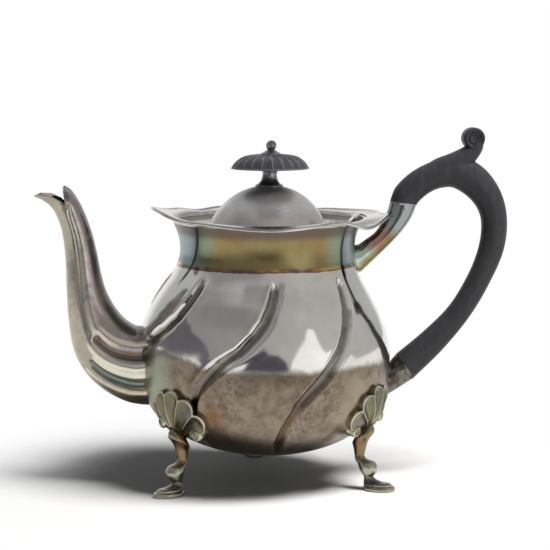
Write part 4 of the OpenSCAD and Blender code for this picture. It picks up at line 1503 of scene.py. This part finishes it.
def dress(tree, surface, film, rough, *rougher, dents=None):
    """Gives the surface its film, its roughness with what adds to it, and shallow dents.

    Dents are a pattern and a depth in millimetres; they make reflections waver.
    """
    for value, times in rougher:
        rough = add_node(tree, MATH, {0: value, 1: times, 2: rough}, operation="MULTIPLY_ADD")
    set_inputs(tree, surface, {"Base Color": film, "Roughness": rough})
    if dents:
        bump = add_node(tree, "ShaderNodeBump", {"Height": dents[0], "Distance": dents[1] * MM})
        set_inputs(tree, surface, {"Normal": bump})


print("clean silver in linear light:", [round(c, 3) for c in colour("e4e1da")])

# %% [markdown]
# ## Body silver
#
# The shoulder is rubbed bright by a cloth. Below the widest line the film is brown and
# speckled, with three copper-coloured stains and a pinkish one, and the bottoms of the
# flutes hold dark tarnish. That brown is partly tarnish and partly a painted reflection
# of a brown table, and a paler band at the very bottom is a painted reflection of the
# floor. Above a sharp line round the neck, a straw-gold film runs into green at the
# sides, and its lower edge is violet, where the film is thickest. Along that edge runs a
# painted amber highlight. The dark lines at the gold panels' edges are painted, and in
# front they stand for reflections of the spout and the handle. The top of the neck is
# painted darker, as shade under the rim.

# %% Body silver, low down
tree, surface, place, (wide, close, fine, speck) = open_material(
    body_silver, (26, 3), (8, 5), (3.2, 6), (1.9, 4),
)
high = height(tree, place)
around = way_round(tree, place)
# The brown, which is tarnish and a painted reflection of a brown table below the belly's horizon, ends
# in a ragged edge, which is higher on the spout's side
brown_horizon_z = 74
horizon_lift = 8
edge = ragged(tree, high, close, 7)
on_left = mask(tree, (around, -28, -62), (around, -160, -105))
edge = add_node(tree, MATH, {0: on_left, 1: -horizon_lift, 2: edge}, operation="MULTIPLY_ADD")
low = mask(tree, (edge, brown_horizon_z, brown_horizon_z - 4))
copper_stains = [((-36, -55, 31), 8), ((-33, -53, 22), 7), ((26, -46, 14), 5)]
# The brown film: tarnish, and a painted reflection of a brown table
brown = coats(
    tree, "8f8272",
    ("756859", (close, 0.38, 0.66)),
    ("8d8578", (high, 50, 34), (fine, 0.4, 0.7)),
    ("54483c", (wide, 0.4, 0.62), (speck, 0.46, 0.66), 0.7),
    ("5c4e40", (fine, 0.54, 0.68), 0.45),
    *[("85592f", stain(tree, place, *spot, fine), 0.55) for spot in copper_stains],
    ("a08578", stain(tree, place, (-2, -48, 9), 9, close), 0.7),
    ("9a9e8c", (around, -50, -66), (around, -105, -78), 0.9),
    ("a0937f", (around, 20, 40), (around, 150, 100), (wide, 0.45, 0.6)),
    # Painted reflection of the floor: a paler greenish grey at the very bottom
    ("a3a69c", (high, 23, 19)),
)
# The bottoms of the flutes
pressed = add_node(tree, "ShaderNodeAttribute", attribute_name="pressed_in").outputs["Fac"]
dull = coats(tree, "7d7872", ("61574c", (close, 0.4, 0.7)), ("654f3b", (high, 70, 45)))

# %% Body silver, the neck
violet_z = 121.0
# Painted dark lines end the gold panels, in degrees round: one on the left in front,
# which leans so many degrees towards the front for each millimetre up, one on the right,
# and two behind. The front two stand for reflections of the spout and the handle.
left_reflection_line, lean, right_reflection_line, back_painted_line = 112.7, 0.408, 49, 118
# On the right the painted lines reach further down, by this many millimetres
line_drop = 13
line = ragged(tree, high, close, 2.4)
line = add_node(tree, MATH, {0: wide, 1: -0.8, 2: line}, operation="MULTIPLY_ADD")
# Degrees past the nearest panel edge; it is below zero inside a gold panel
leaning_line = add_node(tree, MATH, {0: high, 1: lean, 2: -left_reflection_line}, operation="MULTIPLY_ADD")
past_left = add_node(tree, MATH, {0: leaning_line, 1: around}, operation="SUBTRACT")
past_right = add_node(tree, MATH, {0: around, 1: right_reflection_line}, operation="SUBTRACT")
past = add_node(tree, MATH, {0: past_left, 1: past_right}, operation="MAXIMUM")
aside = add_node(tree, MATH, {0: around}, operation="ABSOLUTE")
past_back = add_node(tree, MATH, {0: back_painted_line, 1: aside}, operation="SUBTRACT")
past = add_node(tree, MATH, {0: past, 1: past_back}, operation="MINIMUM")
gold = coats(
    tree, "948a60",
    ("927b4f", (wide, 0.38, 0.62)),
    ("87735c", (close, 0.52, 0.66), 0.35),
    ("8b9880", (past, -22, -4)),
    ("8e999b", (past, 0.4, 2.0)),
    # Painted shade under the rim: the top of the neck is darker
    ("5f5450", (high, 137, 142), 0.8),
)
neck = mask(tree, (line, violet_z + 1.4, violet_z + 3.2))
from_painted_line = add_node(tree, MATH, {0: past}, operation="ABSOLUTE")
on_right = mask(tree, (around, -1, 1))
painted_line_z = add_node(tree, MATH, {0: on_right, 1: line_drop, 2: high}, operation="MULTIPLY_ADD")
inner = add_node(tree, "ShaderNodeAttribute", attribute_name="inside").outputs["Fac"]
film = coats(
    tree, "e2dfd9",
    ("d3d0cb", (wide, 0.35, 0.7)),
    (brown, low),
    (dull, (pressed, -0.3, -0.95), 0.9),
    ("7a625c", (line, violet_z, violet_z + 0.6)),
    # Painted highlight: an amber line just above the violet edge, broken by the blotches
    ("d6a468", (line, violet_z + 0.7, violet_z + 1.3), (wide, 0.42, 0.6)),
    (gold, neck),
    # Painted reflection: dark lines along the gold panels' edges
    ("3b3c39", (from_painted_line, 2.0, 0.7), (painted_line_z, 112, 118)),
    ("a39c90", (inner, 0.4, 0.6)),
)
dress(tree, surface, film, 0.07, (low, 0.19), (neck, 0.2), (close, 0.08), dents=(wide, 0.06))

# %% [markdown]
# ## Rim, lid, chased and inner silver
#
# The rim and the lid have like even grey films, and the lid's is a little darker and
# warmer low on the dome and on its flange. The lid's hinge leaf is chased: its ridges
# are rubbed pale and its hollows are nearly black. Inside the pot, the silver was only
# brushed, and the tea has stained it.

# %% Rim silver
tree, surface, place, (wide, close) = open_material(rim_silver, (17, 3), (5, 5))
film = coats(tree, "c9c6c1", ("b3aea8", (wide, 0.4, 0.62)), ("8a837b", (close, 0.55, 0.72), 0.4))
dress(tree, surface, film, 0.1, (close, 0.14), dents=(wide, 0.04))

# %% Lid silver
tree, surface, place, (wide, close) = open_material(lid_silver, (30, 2), (5, 4))
# A dull film scatters a part of the light as a paint would
surface.inputs["Metallic"].default_value = 0.9
high = height(tree, place)
film = coats(
    tree, "d2d0ce",
    ("c4c2c0", (wide, 0.35, 0.65)),
    ("a39b96", (close, 0.5, 0.7), 0.25),
    ("a2958f", (high, 156, 148), 0.4),
)
dress(tree, surface, film, 0.22, (close, 0.06), (mask(tree, (high, 152, 162)), 0.22))

# %% Chased, inner and dark silver
tree, surface, place, (close,) = open_material(chased_silver, (3, 5))
stands_out = add_node(tree, "ShaderNodeNewGeometry").outputs["Pointiness"]
film = coats(
    tree, "908e8a",
    ("6d6b68", (close, 0.35, 0.7)),
    ("dddad4", (stands_out, 0.51, 0.56), 0.8),
    ("33312f", (stands_out, 0.49, 0.44)),
)
dress(tree, surface, film, 0.24)

for material, size, clean, stained, rough in (
    (inner_silver, 4, "b9b3a6", "7b6d58", 0.32),
    (dark_silver, 5, "a9a8ab", "807e81", 0.3),
):
    tree, surface, place, (close,) = open_material(material, (size, 5))
    dress(tree, surface, coats(tree, clean, (stained, (close, 0.35, 0.7))), rough)

# %% [markdown]
# ## Spout and socket silver
#
# These parts are handled less and keep more film. Along the spout it is olive and straw
# with violet clouds, and dark in the two long hollows; a pale stripe up the neck and the
# pale lips beside the hollows are painted highlights. On the upper socket it runs through
# a whole rainbow from teal to gold to maroon, because its thickness changes evenly along
# the metal, and its pale mint streak and pinkish streak are painted highlights over that
# film.

# %% Spout silver
tree, surface, place, (wide, close, speck) = open_material(spout_silver, (19, 3), (6, 5), (1.6, 4))
high = height(tree, place)
around, upper, lower = [
    add_node(tree, "ShaderNodeAttribute", attribute_name=name).outputs["Fac"]
    for name in ("round", "high_hollow", "low_hollow")
]
around = ragged(tree, around, close, 22)
painted_lip_highlight = add_node(tree, MATH, {0: upper, 1: lower}, operation="MINIMUM")
rust = coats(tree, "5a534e", ("6e5340", (close, 0.5, 0.62)))
film = coats(
    tree, "b9b09a",
    ("a8a091", (wide, 0.36, 0.62)),
    # Painted highlight: a pale beige stripe along the neck's shallow hollow
    ("cdc4b6", (around, 58, 76)),
    ("9f9390", (around, 96, 112)),
    ("b4b3b2", (around, 138, 158)),
    ("857c84", (close, 0.5, 0.68), 0.5),
    ("8f9d97", (wide, 0.58, 0.72), 0.5),
    ("6a5040", (speck, 0.6, 0.72), 0.5),
    ("bfae7e", (high, 62, 40), 0.6),
    (rust, (upper, 0.9, 2.0), 0.85),
    ("66716e", (lower, 0.8, 2.2), 0.75),
    # Painted highlight: the lips beside the hollows are pale
    ("e6dfcd", (painted_lip_highlight, -0.04, -0.16), 0.75),
)
dress(tree, surface, film, 0.12, (close, 0.18), dents=(wide, 0.08))

# %% Socket silver
tree, surface, place, (wide, close) = open_material(socket_silver, (12, 3), (4, 5))
high = height(tree, place)
x = add_node(tree, "ShaderNodeSeparateXYZ", {0: place}).outputs["X"]
x = add_node(tree, MATH, {0: x, 1: 1000}, operation="MULTIPLY")
x = add_node(tree, MATH, {0: wide, 1: 9, 2: x}, operation="MULTIPLY_ADD")
# Millimetres along the upper socket and across it, by turning x and the height
turned = []
for x_share, high_share in ((0.6, 0.8), (0.8, -0.6)):
    rise = add_node(tree, MATH, {0: high, 1: high_share}, operation="MULTIPLY")
    turned.append(add_node(tree, MATH, {0: x, 1: x_share, 2: rise}, operation="MULTIPLY_ADD"))
along, across = turned
# Painted highlight: a pale mint streak along the socket, in a teal tarnish colour, with gold beyond it
low_end = coats(tree, "6d726f", ("b9cabf", (across, -40, -36)), ("948a5c", (across, -33, -29)))
# Painted highlight: a pinkish streak along the socket's middle part, in a tarnish colour
middle = coats(tree, "77746f", ("ab8b80", (across, -40, -35)), ("857550", (across, -31, -27)))
brown = coats(tree, "77736d", ("4d453d", (close, 0.4, 0.65)))
film = coats(
    tree, low_end,
    (middle, (along, 133, 143)),
    ("9ea3a2", (along, 148, 158)),
    (brown, (high, 112, 100)),
)
dress(tree, surface, film, 0.12, (close, 0.14))

# %% [markdown]
# ## Cast silver and wood
#
# Casting leaves a slightly grained skin. On the feet the ribs are rubbed pale and the
# hollows between them hold an olive and copper film, so the shader asks each point
# whether it stands out or lies in. The wood is stained black and polished with wax;
# where hands and the cloth wore it, the brown of the wood comes through a little.

# %% Cast silver
tree, surface, place, (wide, close) = open_material(foot_silver, (11, 3), (3, 5))
high = height(tree, place)
stands_out = add_node(tree, "ShaderNodeNewGeometry").outputs["Pointiness"]
warm = coats(tree, "85765a", ("84634b", (close, 0.4, 0.65)))
film = coats(
    tree, "7a7258",
    ("67655c", (wide, 0.38, 0.64)),
    (warm, (high, 34, 30), (high, 15, 19)),
    ("a8a496", (high, 18, 16), (high, 7, 9)),
    ("726d67", (high, 9, 6)),
    ("cdc8b2", (stands_out, 0.515, 0.57), 0.85),
    ("423d31", (stands_out, 0.485, 0.42)),
)
dress(tree, surface, film, 0.16, (close, 0.16), dents=(close, 0.05))

# %% Ebonised wood
tree, surface, place, (wide, close) = open_material(black_wood, (22, 3), (2.5, 5), metal=False)
# The grain is drawn out fourfold along the upright
drawn_out = add_node(tree, "ShaderNodeVectorMath", {0: place, 1: (1, 1, 0.25)}, operation="MULTIPLY")
grain = add_node(tree, "ShaderNodeTexNoise", {
    "Vector": drawn_out, "Scale": 1000 / 3, "Detail": 6, "Roughness": 0.6,
})
stands_out = add_node(tree, "ShaderNodeNewGeometry").outputs["Pointiness"]
# Only the knob's disc has paler ridges, partly rubbed and partly a painted highlight; all of it has a
# smaller x than this, in metres
disc_end = 0.04
x = add_node(tree, "ShaderNodeSeparateXYZ", {0: place}).outputs["X"]
on_disc = add_node(tree, MATH, {0: x, 1: disc_end}, operation="LESS_THAN")
film = coats(
    tree, "303033",
    ("3c3b3e", (grain, 0.35, 0.7)),
    ("4c4742", (wide, 0.52, 0.72), (close, 0.45, 0.62), 0.6),
    # Paler ridges on the disc: wear and a painted highlight
    ("6f6f72", (stands_out, 0.5, 0.54), on_disc, 0.7),
)
dress(tree, surface, film, 0.34, (wide, 0.24), dents=(grain, 0.05))
print("materials:", len(bpy.data.materials))

# %% [markdown]
# ## The piece that stays as the frame made it
#
# The hinge pin is a plain rod, shown as it is. It still needs a real finish, so it gets
# the dark silver of the knob's fittings: turned, never rubbed, and grey all over.

# %% Finish for the frame's own piece
for node in frame["nodes"].values():
    if not node.hide_render:
        node.data.materials.clear()
        node.data.materials.append(dark_silver)
        print("frame piece:", node.name)

# %% [markdown]
# ## Table, room and light
#
# A pale table carries the pot. It ends in front of the pot, as a table does, and the
# silver shows that edge as a horizon round its belly. Further off the table glows to
# plain white, so that it runs into the white background, and near the pot it keeps the
# shadow. The room is white behind the pot and calmer in front; silver needs both, since
# a mirror in an all-white room has no shape. Three cards stand in front, beside the
# camera's view, and only reflections show them: a dark one where a camera would stand,
# a white one beside it and a dark one on the left.

# %% Table
table_half, table_front, table_back = 3000, -480, 5000
table = make_piece("table", ([
    (-table_half, table_front, 0), (table_half, table_front, 0),
    (table_half, table_back, 0), (-table_half, table_back, 0),
], [(0, 1, 2, 3)]))
for corner in table.data.vertices:
    corner.co.z = 0
table_top = bpy.data.materials.new("pale painted table")
table.data.materials.append(table_top)
tree, surface, place = open_material(table_top, metal=False)[:3]
path = add_node(tree, "ShaderNodeLightPath").outputs
# Light that has already left a dull surface sees a darker table and no glow, which
# keeps the shadow deep
direct = add_node(tree, MATH, {0: path["Diffuse Depth"], 1: 0.5}, operation="LESS_THAN")
dress(tree, surface, coats(tree, "2c2c2c", ("ecebea", direct)), 0.85)
out = add_node(tree, "ShaderNodeVectorMath", {0: place}, operation="LENGTH").outputs["Value"]
seen = path["Is Camera Ray"]
for ray in ("Is Glossy Ray", "Is Transmission Ray"):
    seen = add_node(tree, MATH, {0: seen, 1: path[ray]}, operation="MAXIMUM")
# The glow begins this far out and is full at the second distance, in metres
glow_from, glow_full = 0.09, 0.22
glow = mask(tree, (out, glow_from, glow_full), seen, direct)
white = add_node(tree, "ShaderNodeEmission", {"Color": (1, 1, 1, 1), "Strength": 1.0})
mixed = add_node(tree, "ShaderNodeMixShader", {0: glow, 1: surface, 2: white})
set_inputs(tree, tree.nodes["Material Output"], {"Surface": mixed})

# %% Room
scene = bpy.context.scene
world = bpy.data.worlds.new("studio room")
world.use_nodes = True
scene.world = world
tree = world.node_tree
way = add_node(tree, "ShaderNodeTexCoord").outputs["Generated"]
looks = add_node(tree, "ShaderNodeSeparateXYZ", {0: way}).outputs
x, y, z = looks["X"], looks["Y"], looks["Z"]
to_left = add_node(tree, MATH, {0: x, 1: 0.55}, operation="ADD")
to_left = add_node(tree, MATH, {0: to_left}, operation="ABSOLUTE")
to_middle = add_node(tree, MATH, {0: x}, operation="ABSOLUTE")
path = add_node(tree, "ShaderNodeLightPath").outputs
direct = add_node(tree, MATH, {0: path["Diffuse Depth"], 1: 0.5}, operation="LESS_THAN")
mirrored = add_node(tree, MATH, {
    0: path["Is Glossy Ray"], 1: path["Is Transmission Ray"],
}, operation="MAXIMUM")
behind = mask(tree, mirrored, direct, (y, 0.78, 0.97))
shown = add_node(tree, MATH, {0: path["Is Camera Ray"], 1: behind}, operation="MAXIMUM")
room = coats(
    tree, "a0a0a3",
    ("c4c3c1", (x, -0.9, 0.6)),
    ("939396", (z, 0.2, 0.6), (to_left, 0.6, 0.2)),
    ("bdbfc1", (y, -0.1, 0.4)),
    ("bcbcbe", (z, 0.7, 0.9)),
    ("87878a", (z, 0.78, 0.9), (to_middle, 0.36, 0.28)),
    # The soft light that falls on everything is calmer than the walls look
    ("000000", path["Is Diffuse Ray"], 0.86),
    ("ffffff", shown),
)
set_inputs(tree, tree.nodes["Background"], {"Color": room})

# %% Cards
# Cards stand this far off, in metres, round the middle of the belly
card_far = 1.6
belly_middle = Vector((0, 0, 55))


def card(name, corners, shade, bright=1.0):
    """A card that only reflections show; its corners are directions in degrees."""
    points = []
    for azimuth, elevation in corners:
        a, e = math.radians(azimuth), math.radians(elevation)
        points.append(Vector((math.sin(a), -math.cos(a), math.tan(e))) * card_far * 1000 + belly_middle)
    piece = make_piece(name, (points, [tuple(range(len(points)))]))
    material = bpy.data.materials.new(name)
    material.use_nodes = True
    tree = material.node_tree
    light = add_node(tree, "ShaderNodeEmission", {"Color": colour(shade), "Strength": bright})
    set_inputs(tree, tree.nodes["Material Output"], {"Surface": light})
    piece.data.materials.append(material)
    piece.visible_camera = False
    piece.visible_diffuse = False
    piece.visible_shadow = False


camera_card = [(-33, -14), (-27, -2), (-15, 2), (-6, 6), (3, 5), (10, 0), (13, -6), (13, -14)]
white_card = [(13, -14), (48, -14), (49, 4), (44, 25), (38, 27), (32, 18), (24, 10), (16, 0)]
left_card = [(-128, -14), (-36, -14), (-52, -4), (-80, 14), (-92, 26), (-104, 12)]
card("dark card in front", camera_card, "4f4c57")
card("white card", white_card, "ffffff", 1.2)
card("dark card on the left", left_card, "6d6a72")

# %% Lamp and view
key = add_object("soft key", bpy.data.lights.new("soft key", "AREA"))
key.data.size = 0.6
key.data.energy = 34
key.location = (0.58, -0.42, 1.35)
aim = Vector((0, 0, 0.05))
key.rotation_euler = (key.location - aim).to_track_quat("Z", "Y").to_euler()
key.visible_glossy = False
scene.view_settings.view_transform = "Standard"
print("lamp:", key.data.energy, "W")
